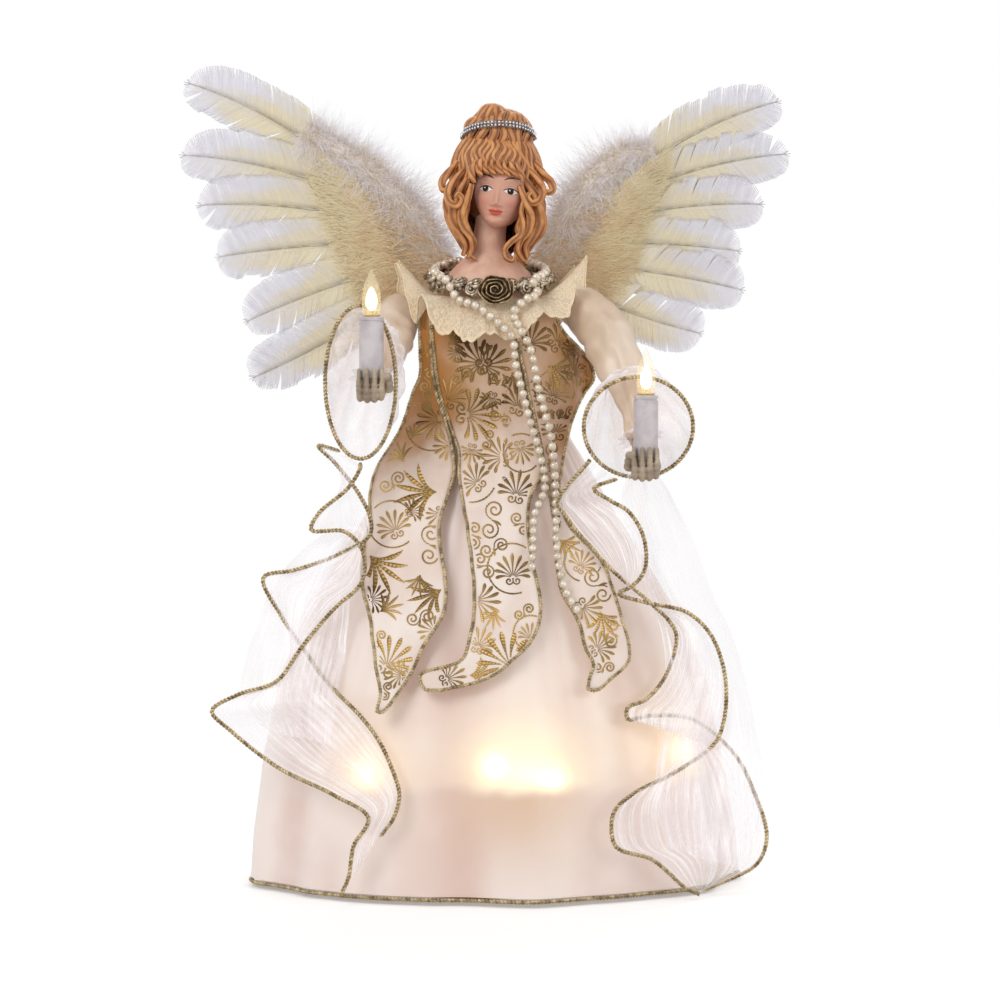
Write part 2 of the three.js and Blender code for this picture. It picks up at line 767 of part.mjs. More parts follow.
function makePearls() {
  const rest = pearlRadius + collarThickness / 2 + seatGap + collarRuffleDepth * 0.75;
  const onCollar = ([turnShare, share]) => collarPoint(turnShare * Math.PI, share, rest);
  const mirrored = collarLoopShares
    .map(([turnShare, share]) => [mirrorTurnShare * 2 - turnShare, share])
    .reverse();
  const points = [
    ...leftStrandPixels.map(strandPoint),
    ...collarLoopShares.map(onCollar),
    ...braidLoopShares.map(pearlOnBraid),
    ...mirrored.map(onCollar),
    ...rightStrandPixels.map(strandPoint),
  ];
  const path = new THREE.CatmullRomCurve3(points, false, 'centripetal');
  const beads = Math.round(path.getLength() / pearlPitch);
  const frames = path.computeFrenetFrames(beads * 2, false);
  const stations = Array.from({ length: beads * 2 + 1 }, (_, k) => {
    const radius = k % 2 === 0 ? pearlThreadRadius : pearlRadius;
    const centre = path.getPointAt(k / (beads * 2));
    return sectionAt(centre, frames.normals[k], frames.binormals[k], roundSection(radius, 4));
  });
  addPiece('pearl_string', loft(stations), 'pearl');
}

// Arms: a satin sleeve, a porcelain hand, a candle tube and its lamp, and an organza bell

// Each sleeve's points in shares of its candle's place across, of the candle's depth, and of the fall from the
// shoulder to the candle's foot
const arms = [
  {
    name: 'left',
    side: -1,
    shoulderDrop: leftShoulderDrop,
    sleeveShares: [[0.9, 0.25, 0.2], [0.96, 0.5, 0.531], [0.996, 0.74, 0.832]],
    candleReach: leftCandleReach,
    candleDrop: leftCandleDrop,
    bellStartShare: 0.5,
    mouthPixel: [362, 382],
    mouthDepth: leftMouthDepth,
    mouthHalfWidth: leftMouthHalfWidth,
    mouthHalfHeight: leftMouthHalfHeight,
    mouthTurn: -0.46,
    drapeTurnShares: [-0.5, -0.68],
  },
  {
    name: 'right',
    side: 1,
    shoulderDrop: rightShoulderDrop,
    sleeveShares: [[0.78, 0.27, 0.139], [0.893, 0.53, 0.42], [0.974, 0.78, 0.812]],
    candleReach: rightCandleReach,
    candleDrop: rightCandleDrop,
    bellStartShare: 0.6,
    mouthPixel: [638, 427],
    mouthDepth: rightMouthDepth,
    mouthHalfWidth: rightMouthHalfWidth,
    mouthHalfHeight: rightMouthHalfHeight,
    mouthTurn: 0.12,
    drapeTurnShares: [-0.62, -0.8],
  },
];

function shoulderHeight(arm) {
  return torsoTop - arm.shoulderDrop;
}

// The middle of the candle's top
function candleSeat(arm) {
  return point(arm.side * arm.candleReach, -candleDepth, torsoTop - arm.candleDrop);
}

function sleeveCurve(arm) {
  const shoulder = point(arm.side * shoulderAcross, -shoulderSet, shoulderHeight(arm));
  const seat = candleSeat(arm);
  const fall = shoulder.z - (seat.z - candleLength);
  const bends = arm.sleeveShares.map(([acrossShare, depthShare, fallShare]) => (
    point(seat.x * acrossShare, seat.y * depthShare, shoulder.z - fall * fallShare)));
  return new THREE.CatmullRomCurve3([shoulder, ...bends], false, 'centripetal');
}

function sleeveRadiusAt(share) {
  return mix(shoulderRadius * 0.9, wristRadius, share ** 0.8);
}

function makeSleeve(arm) {
  const path = sleeveCurve(arm);
  const steps = 6;
  const frames = path.computeFrenetFrames(steps, false);
  const stations = Array.from({ length: steps + 1 }, (_, k) => {
    const section = roundSection(sleeveRadiusAt(k / steps), 10);
    return sectionAt(path.getPointAt(k / steps), frames.normals[k], frames.binormals[k], section);
  });
  const inward = shoulderAcross - torsoHalf(shoulderHeight(arm)).wide - seatGap;
  const puff = ellipsoid(path.getPointAt(0), point(inward, shoulderRadius, shoulderRadius), 10, 7);
  addPiece(`${arm.name}_sleeve`, fromSolid(joined([loft(stations), puff])), 'satin');
}

function makeHand(arm) {
  const path = sleeveCurve(arm);
  const wrist = path.getPointAt(1);
  const along = path.getTangentAt(1);
  const start = wrist.clone().addScaledVector(along, seatGap);
  const seat = candleSeat(arm);
  const foot = seat.z - candleLength;
  const grip = point(seat.x, seat.y, foot + palmHalfWidth * 0.3);
  const stub = new THREE.CatmullRomCurve3([start, start.clone().addScaledVector(along, wristRadius), grip]);
  const steps = 4;
  const frames = stub.computeFrenetFrames(steps, false);
  const stations = Array.from({ length: steps + 1 }, (_, k) => {
    const section = roundSection(wristRadius * 0.8, 8);
    return sectionAt(stub.getPointAt(k / steps), frames.normals[k], frames.binormals[k], section);
  });
  const lumpOfPalm = (placeShares, halfShares, wide, high) => ellipsoid(
    grip.clone().addScaledVector(point(...placeShares), palmHalfWidth),
    point(...halfShares).multiplyScalar(palmHalfWidth),
    wide,
    high,
  );
  const pieces = [loft(stations), lumpOfPalm([0, 0.1, 0], [0.9, 0.8, 0.66], 10, 6)];
  for (const acrossShare of [-0.75, -0.26, 0.24, 0.72]) {
    const placeShares = [acrossShare, acrossShare * acrossShare * 0.7 - 0.86, -0.06];
    pieces.push(lumpOfPalm(placeShares, [0.28, 0.34, 0.62], 6, 4));
  }
  const bore = latheFrom([
    [0, foot - seatGap],
    [candleRadius + seatGap, foot - seatGap],
    [candleRadius + seatGap, foot + palmHalfWidth * 2],
    [0, foot + palmHalfWidth * 2],
  ], 16);
  bore.translate(seat.x, seat.y, 0);
  addPiece(`${arm.name}_hand`, fromSolid(joined(pieces).subtract(toSolid(bore))), 'porcelain');
}

function makeCandle(arm) {
  const seat = candleSeat(arm);
  const tube = latheFrom([
    [0, -candleLength],
    [candleRadius, -candleLength],
    [candleRadius, 0],
    [candleBoreRadius, 0],
    [candleBoreRadius, -candleBoreDepth],
    [0, -candleBoreDepth],
  ], 16);
  tube.translate(seat.x, seat.y, seat.z);
  addPiece(`${arm.name}_candle_tube`, tube, 'candle');
  const lamp = latheFrom([
    [0, -flameBaseLength],
    [flameBaseRadius, -flameBaseLength],
    [flameBaseRadius, seatGap],
    [flameGlassRadius, seatGap],
    [flameGlassRadius, flameGlassLength * 0.5],
    [flameGlassRadius * 0.62, flameGlassLength * 0.74],
    [flameGlassRadius * 0.24, flameGlassLength * 0.92],
    [0, flameGlassLength],
  ], 10);
  lamp.translate(seat.x, seat.y, seat.z);
  addPiece(`${arm.name}_candle_lamp`, lamp, 'lampGlass');
}

const bellSides = 20;

function mouthPoint(arm, turn, reachShare) {
  const across = arm.mouthHalfWidth * reachShare * Math.cos(turn);
  const up = arm.mouthHalfHeight * reachShare * Math.sin(turn);
  const lean = point(across * Math.cos(arm.mouthTurn), across * Math.sin(arm.mouthTurn), up);
  return photoPoint(...arm.mouthPixel, arm.mouthDepth).add(lean);
}

function bellCordPoint(arm, turn) {
  const forward = point(Math.sin(arm.mouthTurn), -Math.cos(arm.mouthTurn), 0);
  return mouthPoint(arm, turn, 1).addScaledVector(forward, cordRadius + seatGap + bellThickness / 4);
}

function makeBell(arm) {
  const path = sleeveCurve(arm);
  const start = path.getPointAt(arm.bellStartShare);
  const startRadius = sleeveRadiusAt(arm.bellStartShare) + seatGap + bellThickness;
  const along = path.getTangentAt(arm.bellStartShare);
  const up = point(0, 0, 1).addScaledVector(along, -along.z).normalize();
  const across = up.clone().cross(along).normalize();
  if (across.x < 0) across.negate();
  const grid = Array.from({ length: bellSides }, (_, k) => {
    const turn = (k / bellSides) * Math.PI * 2;
    const from = start.clone()
      .addScaledVector(across, startRadius * Math.cos(turn))
      .addScaledVector(up, startRadius * Math.sin(turn));
    const to = mouthPoint(arm, turn, 1);
    return [0, 0.3, 0.65, 1].map((share) => {
      const p = from.clone().lerp(to, share);
      const puff = Math.sin(share * Math.PI) * startRadius * 0.25;
      return p.addScaledVector(across, puff * Math.cos(turn)).addScaledVector(up, puff * Math.sin(turn));
    });
  });
  addPiece(`${arm.name}_organza_bell`, sheetSolid(grid, () => bellThickness, true), 'organza');
  const ring = Array.from({ length: bellSides }, (_, k) => bellCordPoint(arm, (k / bellSides) * Math.PI * 2));
  const ringCord = ringTube(ring, mouthPoint(arm, 0, 0), cordRadius, cordSides);
  addPiece(`${arm.name}_bell_cord`, ringCord, 'goldCord');
}

// Drapes: a fluttering organza ribbon below each bell, between two wired cords, as matched pairs of pixels

const leftDrapePixels = [
  [[359, 471], [318, 446]],
  [[348, 488], [334, 462]],
  [[318, 514], [360, 496]],
  [[311, 530], [371, 522]],
  [[345, 532], [369, 536]],
  [[363, 553], [342, 553]],
  [[361, 583], [296, 570]],
  [[334, 609], [263, 578]],
  [[301, 648], [280, 615]],
  [[276, 682], [302, 648]],
  [[236, 696], [322, 677]],
  [[211, 712], [340, 697]],
  [[230, 732], [358, 715]],
  [[276, 768], [376, 738]],
  [[334, 797], [390, 766]],
  [[368, 820], [399, 797]],
  [[353, 848], [393, 820]],
  [[348, 879], [386, 830]],
  [[340, 898], [380, 838]],
];
const rightDrapePixels = [
  [[594, 489], [558, 503]],
  [[611, 501], [566, 516]],
  [[629, 512], [576, 530]],
  [[644, 538], [594, 550]],
  [[645, 570], [610, 568]],
  [[633, 586], [622, 579]],
  [[619, 594], [636, 591]],
  [[647, 603], [655, 607]],
  [[688, 613], [670, 622]],
  [[711, 635], [677, 637]],
  [[724, 668], [667, 675]],
  [[727, 700], [646, 701]],
  [[724, 724], [628, 709]],
  [[718, 741], [628, 720]],
  [[704, 755], [650, 717]],
  [[672, 776], [694, 721]],
  [[633, 796], [735, 755]],
  [[614, 815], [756, 796]],
  [[616, 848], [768, 839]],
  [[653, 862], [758, 866]],
  [[686, 890], [725, 884]],
  [[700, 908], [706, 892]],
];
// Room for a cord that the ribbon meets at a slant
const obliqueShare = 1.5;
const ribbonStartShare = 0.012;

function drapePoint([column, row], lift) {
  let depth = drapeHang;
  for (let pass = 0; pass < 3; pass++) {
    const guess = photoPoint(column, row, depth);
    const clear = depthClearOfSkirt(guess.x, Math.max(guess.z, hemHeight), drapeClearance);
    depth = Math.max(drapeHang, clear) + lift;
  }
  const place = photoPoint(column, row, depth);
  place.z = Math.max(place.z, cordRadius + floorClearance);
  return place;
}

// The drape's top hangs just below the cord of its bell
function drapeTop(arm, turnShare) {
  const turn = turnShare * Math.PI;
  const drop = cordRadius * 2 + seatGap;
  const level = Math.cos(turn);
  const outward = point(level * Math.cos(arm.mouthTurn), level * Math.sin(arm.mouthTurn), Math.sin(turn));
  return bellCordPoint(arm, turn).addScaledVector(outward.normalize(), drop);
}

function makeDrape(arm, pixels) {
  const { name } = arm;
  const [outerTurnShare, innerTurnShare] = arm.drapeTurnShares;
  const outer = [drapeTop(arm, outerTurnShare), ...pixels.map(([first]) => drapePoint(first, outerCordLift))];
  const inner = [drapeTop(arm, innerTurnShare), ...pixels.map(([, second]) => drapePoint(second, 0))];
  addPiece(`${name}_drape_outer_cord`, cordAlong(outer, 2), 'goldCord');
  addPiece(`${name}_drape_inner_cord`, cordAlong(inner, 2), 'goldCord');
  const rowsPerPoint = 2;
  const outerPath = new THREE.CatmullRomCurve3(outer, false, 'centripetal');
  const innerPath = new THREE.CatmullRomCurve3(inner, false, 'centripetal');
  const rows = outer.length * rowsPerPoint;
  const back = (cordRadius + seatGap + drapeThickness / 2) * obliqueShare;
  const grid = Array.from({ length: rows + 1 }, (_, i) => {
    const at = mix(ribbonStartShare, 1, i / rows);
    const from = outerPath.getPoint(at);
    const to = innerPath.getPoint(at);
    const span = to.clone().sub(from);
    const inset = Math.min(back / span.length(), 0.4);
    return [0, 1 / 3, 2 / 3, 1].map((share) => (
      from.clone().addScaledVector(span, mix(inset, 1 - inset, share))));
  });
  const room = cordRadius + seatGap;
  const ribbon = toSolid(sheetSolid(grid, () => drapeThickness))
    .subtract(toSolid(cordAlong(outer, 2, room)))
    .subtract(toSolid(cordAlong(inner, 2, room)));
  const whole = ribbon.decompose().reduce((best, next) => (next.volume() > best.volume() ? next : best));
  addPiece(`${name}_drape`, fromSolid(whole), 'organza');
}

// Wings: six long feathers on a card with a marabou puff along its top

const wings = [
  {
    name: 'left',
    side: -1,
    tipPixels: [[184, 82], [179, 155], [196, 206], [216, 258], [245, 323], [251, 379]],
    fluffPixels: [[306, 130], [340, 152], [372, 175], [402, 202], [428, 232]],
  },
  {
    name: 'right',
    side: 1,
    tipPixels: [[781, 101], [790, 154], [764, 205], [741, 252], [744, 291], [702, 334]],
    fluffPixels: [[652, 150], [620, 158], [592, 184], [568, 214], [554, 244]],
  },
];
const cardOutlineShares = [
  [0, 0], [0.32, 0.04], [0.58, 0.28], [0.82, 0.6], [1, 0.9], [0.93, 1], [0.72, 0.96], [0.44, 0.76], [0.22, 0.44],
  [0, 0.195],
];
const rootShares = [[0.84, 0.9], [0.76, 0.8], [0.68, 0.69], [0.6, 0.58], [0.52, 0.46], [0.43, 0.34]];
const vaneShares = [
  [0, 0.07], [0.1, 0.09], [0.17, 0.4], [0.3, 0.74], [0.46, 0.94], [0.64, 1], [0.78, 0.96], [0.88, 0.8], [0.95, 0.52],
  [1, 0.12],
];
const featherStationShares = [0, 0.1, 0.17, 0.3, 0.46, 0.64, 0.78, 0.88, 0.95, 1];
// Round a feather's section: how far across the vane, and whether in front or behind
const featherSectionShares = [[0.5, 1], [0, 1], [-0.5, 1], [-1, 0], [-0.5, -1], [0, -1], [0.5, -1], [1, 0]];
const bowShares = [0.06, 0.05, 0.04, 0.02, 0.02, -0.03];
const notchShare = 0.82;
// How far each feather has risen off the card into its own layer, along its length
const layerRiseShares = [[0, 0], [0.05, 0], [0.3, 1]];

const cardFront = torsoHalfDepth + backPadDepth + seatGap;
const featherPitch = quillThickness + seatGap + featherLoose;

function cardPoint(wing, [spanShare, riseShare], y) {
  const across = wingHingeAcross + cardSpan * spanShare;
  return point(wing.side * across, y, wingHingeBottom + cardRise * riseShare);
}

function makeCard(wing) {
  const outline = new THREE.Shape(cardOutlineShares.map((shares) => {
    const corner = cardPoint(wing, shares, 0);
    return new THREE.Vector2(corner.x, corner.z);
  }));
  const plate = new THREE.ExtrudeGeometry(outline, { depth: cardThickness, bevelEnabled: false });
  plate.rotateX(Math.PI / 2);
  plate.translate(0, cardFront + cardThickness, 0);
  addPiece(`${wing.name}_wing_card`, plate, 'card');
}

// The wing's surface leans back towards its tip
function sweepAt(across) {
  return featherSweep * (Math.max(0, Math.abs(across) - wingHingeAcross - cardSpan) / cardSpan) ** 2;
}

function makeFeather(wing, k) {
  const seat = cardFront - seatGap - quillThickness / 2;
  const root = cardPoint(wing, rootShares[k], seat);
  const [column, row] = wing.tipPixels[k];
  const tip = photoPoint(column, row, -(seat + featherSweep));
  const span = tip.clone().sub(root);
  const length = Math.hypot(span.x, span.z);
  const rise = point(-span.z / length, 0, span.x / length).multiplyScalar(wing.side);
  const stations = featherStationShares.map((share, s) => {
    const centre = root.clone().addScaledVector(span, share);
    centre.addScaledVector(rise, 4 * bowShares[k] * length * share * (1 - share));
    centre.y = seat - featherPitch * k * readShares(layerRiseShares, share) + sweepAt(centre.x);
    const half = featherHalfWidth * readShares(vaneShares, share);
    const notched = s > 4 && (s + k) % 2 === 0 ? notchShare : 1;
    const camber = vaneThickness * (0.3 + 0.6 * share);
    return featherSectionShares.map(([acrossShare, frontShare]) => {
      const thickness = acrossShare === 0 ? quillThickness : vaneThickness;
      return centre.clone()
        .addScaledVector(rise, acrossShare * half * (acrossShare < 0 ? notched : 1))
        .add(point(0, camber * acrossShare * acrossShare - (frontShare * thickness) / 2, 0));
    });
  });
  addPiece(`${wing.name}_feather_${k + 1}`, loft(stations), 'feather');
}

function makeMarabou(wing) {
  const back = cardFront - seatGap - quillThickness - seatGap;
  const points = wing.fluffPixels.map(([column, row]) => photoPoint(column, row, -back));
  const path = new THREE.CatmullRomCurve3(points);
  const steps = 8;
  const stations = Array.from({ length: steps + 1 }, (_, i) => {
    const share = i / steps;
    const tangent = path.getTangentAt(share);
    const across = point(-tangent.z, 0, tangent.x);
    const swell = Math.max(0.2, Math.sin(Math.PI * (0.12 + 0.8 * share))) ** 0.7;
    const lumps = 1 + 0.09 * Math.cos(i * 2.4);
    const section = roundSection(maraboutRadius * swell * lumps, 12, maraboutHalfDepth * swell);
    const centre = path.getPointAt(share).add(point(0, -maraboutHalfDepth * swell, 0));
    return sectionAt(centre, across, point(0, 1, 0), section);
  });
  addPiece(`${wing.name}_marabou`, loft(stations), 'feather');
}

makeTreeCone();
makeLamps();
makeTorso();
makeSkirt();
makePanel('overdress_left_panel', leftPanelPixels, 5);
makePanel('overdress_centre_panel', centrePanelPixels, 6);
makePanel('overdress_right_panel', rightPanelPixels, 5);
makeBust();
makeTiara();
makeCollar();
makeBraid();
makeRose();
makePearls();
for (const arm of arms) {
  makeSleeve(arm);
  makeHand(arm);
  makeCandle(arm);
  makeBell(arm);
}
makeDrape(arms[0], leftDrapePixels);
makeDrape(arms[1], rightDrapePixels);
for (const wing of wings) {
  makeCard(wing);
  wing.tipPixels.forEach((_, k) => makeFeather(wing, k));
  makeMarabou(wing);
}

export default angel;
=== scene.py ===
import math
import random
import bpy
from mathutils import Matrix, Vector, noise


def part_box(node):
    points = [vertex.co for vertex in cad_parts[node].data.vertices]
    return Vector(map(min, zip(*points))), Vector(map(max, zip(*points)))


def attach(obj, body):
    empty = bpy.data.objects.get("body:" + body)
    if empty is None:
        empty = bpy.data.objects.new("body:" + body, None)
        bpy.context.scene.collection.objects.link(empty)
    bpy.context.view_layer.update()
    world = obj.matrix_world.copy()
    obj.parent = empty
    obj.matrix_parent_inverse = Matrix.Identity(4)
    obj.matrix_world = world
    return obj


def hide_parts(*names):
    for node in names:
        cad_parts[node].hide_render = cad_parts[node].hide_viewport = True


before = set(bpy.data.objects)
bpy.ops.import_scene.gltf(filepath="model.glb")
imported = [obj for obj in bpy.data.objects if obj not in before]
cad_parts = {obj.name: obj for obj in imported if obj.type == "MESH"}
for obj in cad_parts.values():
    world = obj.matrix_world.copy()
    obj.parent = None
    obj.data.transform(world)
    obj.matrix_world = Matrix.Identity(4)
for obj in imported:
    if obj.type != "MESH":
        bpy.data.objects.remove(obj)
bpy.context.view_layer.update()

# A lighted angel tree topper. Shapes are worked out in millimetres and made in metres.

MM = 0.001
TAU = math.tau

# Scale of the photograph: a depth is how far a point stands in front of the body's axis
PIXEL = 0.41
AXIS_COLUMN = 490
EYE_ROW = 446
FLOOR_ROW = 880.15
EYE_HEIGHT = 178
PIXEL_FALL = EYE_HEIGHT / (FLOOR_ROW - EYE_ROW)
EYE_DISTANCE = 3658.5 * PIXEL
EYE_SLOPE = 0.035

scene = bpy.context.scene

# Camera

camera_data = bpy.data.cameras.new("camera")
camera_data.sensor_width = 36
camera_data.lens = 36 * EYE_DISTANCE / (PIXEL * 1000)
camera_data.shift_x = (500 - AXIS_COLUMN) / 1000
camera_data.shift_y = (EYE_ROW - 500) / 1000
camera_data.clip_start = 0.05
camera_data.clip_end = 20
camera = bpy.data.objects.new("camera", camera_data)
scene.collection.objects.link(camera)
camera.location = (0, -EYE_DISTANCE * MM, (EYE_HEIGHT + EYE_SLOPE * EYE_DISTANCE) * MM)
camera.rotation_euler = (math.radians(90) - math.atan(EYE_SLOPE), 0, 0)
scene.camera = camera


# Small tools

def vec(x, y, z):
    return Vector((x, y, z))


def mix(low, high, share):
    return low + (high - low) * share


def clamp(value, low=0.0, high=1.0):
    return max(low, min(high, value))


def ease(value):
    value = clamp(value)
    return value * value * (3 - 2 * value)


def turns_of(count):
    return [TAU * k / count for k in range(count)]


def read_shares(table, at):
    """The value at a place in a table of places and values."""
    if at <= table[0][0]:
        return table[0][1]
    for (a, va), (b, vb) in zip(table, table[1:]):
        if at <= b:
            return va + (at - a) / (b - a) * (vb - va)
    return table[-1][1]


def photo_point(column, row, depth):
    near = (EYE_DISTANCE - depth) / EYE_DISTANCE
    x = (column - AXIS_COLUMN) * PIXEL * near
    fall = PIXEL_FALL if row > EYE_ROW else PIXEL
    z = EYE_HEIGHT + (EYE_ROW - row) * fall * near + depth * EYE_SLOPE
    return vec(x, -depth, z)


def wander(x, y, z=0.0):
    return noise.noise(vec(x, y, z))


def curve_at(points, t, closed=False):
    """A smooth curve through points, with the spacing of its knots by the root of their distance."""
    count = len(points)
    place = (count if closed else count - 1) * t
    i = math.floor(place)
    weight = place - i
    if not closed and i >= count - 1:
        i, weight = count - 2, 1.0
    if closed:
        p0, p1, p2, p3 = (points[(i + k) % count] for k in (-1, 0, 1, 2))
    else:
        p1, p2 = points[i], points[i + 1]
        p0 = points[i - 1] if i > 0 else p1 * 2 - p2
        p3 = points[i + 2] if i + 2 < count else p2 * 2 - p1
    d0, d1, d2 = (max(1e-4, (b - a).length) ** 0.5 for a, b in ((p0, p1), (p1, p2), (p2, p3)))
    t1 = ((p1 - p0) / d0 - (p2 - p0) / (d0 + d1) + (p2 - p1) / d1) * d1
    t2 = ((p2 - p1) / d1 - (p3 - p1) / (d1 + d2) + (p3 - p2) / d2) * d1
    c2 = p1 * -3 + p2 * 3 - t1 * 2 - t2
    c3 = p1 * 2 - p2 * 2 + t1 + t2
    return p1 + t1 * weight + c2 * weight ** 2 + c3 * weight ** 3


def length_of(points, closed=False):
    ends = zip(points, points[1:] + points[:1]) if closed else zip(points, points[1:])
    return sum((b - a).length for a, b in ends)


def even(points, count, closed=False, smooth=True):
    """count points evenly along the curve through points."""
    if smooth:
        fine = len(points) * 24
        dense = [curve_at(points, k / fine, closed) for k in range(fine + (0 if closed else 1))]
    else:
        dense = list(points)
    if closed:
        dense.append(dense[0])
    marks = [0.0]
    for a, b in zip(dense, dense[1:]):
        marks.append(marks[-1] + (b - a).length)
    result = []
    k = 0
    steps = count if closed else count - 1
    for n in range(count):
        at = marks[-1] * n / steps
        while k < len(marks) - 2 and marks[k + 1] < at:
            k += 1
        span = marks[k + 1] - marks[k]
        result.append(dense[k].lerp(dense[k + 1], (at - marks[k]) / span if span else 0))
    return result


def frames_along(points, closed=False):
    """Tangent and two normals at each point, carried along without twist."""
    count = len(points)
    tangents = []
    for k in range(count):
        before = points[k - 1] if closed or k else points[0]
        after = points[(k + 1) % count] if closed or k < count - 1 else points[-1]
        tangents.append((after - before).normalized())
    side = tangents[0].orthogonal().normalized()
    result = []
    for k, tangent in enumerate(tangents):
        if k:
            side = side - tangent * side.dot(tangent)
            side.normalize()
        result.append([tangent, side.copy(), tangent.cross(side)])
    if closed:
        last = result[-1][1] - tangents[0] * result[-1][1].dot(tangents[0])
        last.normalize()
        gap = math.atan2(last.dot(result[0][2]), last.dot(result[0][1]))
        for k, item in enumerate(result):
            turn = Matrix.Rotation(-gap * k / count, 3, item[0])
            item[1] = turn @ item[1]
            item[2] = turn @ item[2]
    return result


class Shape:
    """Points, faces and texture places that grow into one piece."""

    def __init__(self):
        self.points = []
        self.faces = []
        self.places = []

    def add(self, point, place=(0.0, 0.0)):
        self.points.append(point)
        self.places.append(place)
        return len(self.points) - 1

    def grid(self, rows, around=False, closed=False, flip=False, places=None):
        """Rows of points joined by quads; around closes each row, closed joins the last row to the first."""
        start = len(self.points)
        width = len(rows[0])
        for i, row in enumerate(rows):
            for j, p in enumerate(row):
                place = places[i][j] if places else (j / max(1, width - 1), i / max(1, len(rows) - 1))
                self.add(p, place)
        for i in range(len(rows) if closed else len(rows) - 1):
            for j in range(width if around else width - 1):
                a = start + i * width + j
                b = start + i * width + (j + 1) % width
                c = start + ((i + 1) % len(rows)) * width + (j + 1) % width
                d = start + ((i + 1) % len(rows)) * width + j
                self.faces.append((a, d, c, b) if flip else (a, b, c, d))
        return start

    def tube(self, points, radii, sides=8, closed=False):
        """A round tube along points, with closed ends unless it is a ring."""
        rows = []
        last = len(points) - 1
        for k, (p, (_, side, up)) in enumerate(zip(points, frames_along(points, closed))):
            radius = radii[k] if hasattr(radii, "__len__") else radii
            ways = [side * math.cos(turn) + up * math.sin(turn) for turn in turns_of(sides)]
            rows.append([p + way * radius for way in ways])
        places = [[(n / sides, k / last) for n in range(sides)] for k in range(len(points))]
        start = self.grid(rows, around=True, closed=closed, places=places)
        if not closed:
            for first, outward in ((0, False), (last, True)):
                ring = [start + first * sides + n for n in range(sides)]
                middle = self.add(points[first], (0.5, first / last))
                for a, b in zip(ring, ring[1:] + ring[:1]):
                    self.faces.append((a, b, middle) if outward else (b, a, middle))

    def close_ends(self, start, rows, width, flip=False):
        """One face over the first and one over the last of rows rings."""
        first = tuple(range(start, start + width))
        last = tuple(range(start + (rows - 1) * width, start + rows * width))
        self.faces += [first, last[::-1]] if flip else [first[::-1], last]

    def copy_of(self, points, faces, placed):
        start = len(self.points)
        for p in points:
            self.add(placed @ p)
        for face in faces:
            self.faces.append(tuple(start + k for k in face))

    def piece(self, name, body, slot, material, replaces=()):
        mesh = bpy.data.meshes.new(name)
        mesh.from_pydata([p * MM for p in self.points], [], self.faces)
        layer = mesh.uv_layers.new(name="cloth")
        for loop in mesh.loops:
            layer.data[loop.index].uv = self.places[loop.vertex_index]
        mesh.polygons.foreach_set("use_smooth", [True] * len(mesh.polygons))
        mesh.validate()
        mesh.update()
        mesh.materials.append(material)
        obj = bpy.data.objects.new(name, mesh)
        scene.collection.objects.link(obj)
        return keep(obj, body, replaces)


def keep(obj, body, replaces=()):
    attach(obj, body)
    if replaces:
        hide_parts(*replaces)
    return obj


def pick(*objects):
    bpy.ops.object.select_all(action="DESELECT")
    for obj in objects:
        obj.select_set(True)
    bpy.context.view_layer.objects.active = objects[0]


def apply_transform():
    bpy.ops.object.transform_apply(location=True, rotation=True, scale=True)


def modify(obj, kind, **settings):
    pick(obj)
    modifier = obj.modifiers.new(kind.lower(), kind)
    for key, value in settings.items():
        setattr(modifier, key, value)
    bpy.ops.object.modifier_apply(modifier=modifier.name)


def solidify(obj, thickness):
    modify(obj, "SOLIDIFY", thickness=thickness * MM, offset=0.0)


def bare_primitive(add, **options):
    """Points in millimetres and faces of a primitive that is modelled once and copied."""
    add(**options)
    obj = bpy.context.active_object
    points = [v.co.copy() for v in obj.data.vertices]
    faces = [tuple(f.vertices) for f in obj.data.polygons]
    bpy.data.objects.remove(obj)
    return points, faces


# Shared shader effects

def plug(tree, socket, value):
    """Join an output to a socket, or set the socket itself; a colour may come without its alpha."""
    if hasattr(value, "is_output"):
        tree.links.new(value, socket)
    elif socket.type == "RGBA" and len(value) == 3:
        socket.default_value = (*value, 1)
    else:
        socket.default_value = value


class Nodes:
    """Short ways to add and join the nodes of one tree."""

    def __init__(self, tree):
        self.tree = tree

    def node(self, kind, settings=None, values=None):
        made = self.tree.nodes.new(kind)
        for key, value in (settings or {}).items():
            setattr(made, key, value)
        for key, value in (values or {}).items():
            plug(self.tree, made.inputs[key], value)
        return made

    def math(self, operation, *values, limit=False):
        settings = {"operation": operation, "use_clamp": limit}
        return self.node("ShaderNodeMath", settings, dict(enumerate(values))).outputs[0]

    def add(self, first, second):
        return self.math("ADD", first, second)

    def minus(self, first, second):
        return self.math("SUBTRACT", first, second)

    def times(self, first, second):
        return self.math("MULTIPLY", first, second)

    def more(self, first, second):
        return self.math("MAXIMUM", first, second)

    def away(self, value, middle):
        return self.math("ABSOLUTE", self.minus(value, middle))

    def step(self, value, low, high):
        """0 below low, 1 above high and a soft rise between them."""
        return self.node("ShaderNodeMapRange", {"interpolation_type": "SMOOTHSTEP"}, {
            "Value": value, "From Min": low, "From Max": high, "To Min": 0.0, "To Max": 1.0,
        }).outputs[0]

    def blend(self, factor, first, second, kind="MIX"):
        settings = {"data_type": "RGBA", "blend_type": kind}
        return self.node("ShaderNodeMix", settings, {0: factor, 6: first, 7: second}).outputs[2]

    def parts(self, vector):
        return self.node("ShaderNodeSeparateXYZ", values={"Vector": vector}).outputs

    def noise(self, vector, scale, **values):
        values.update(Vector=vector, Scale=scale)
        return self.node("ShaderNodeTexNoise", values=values).outputs["Fac"]


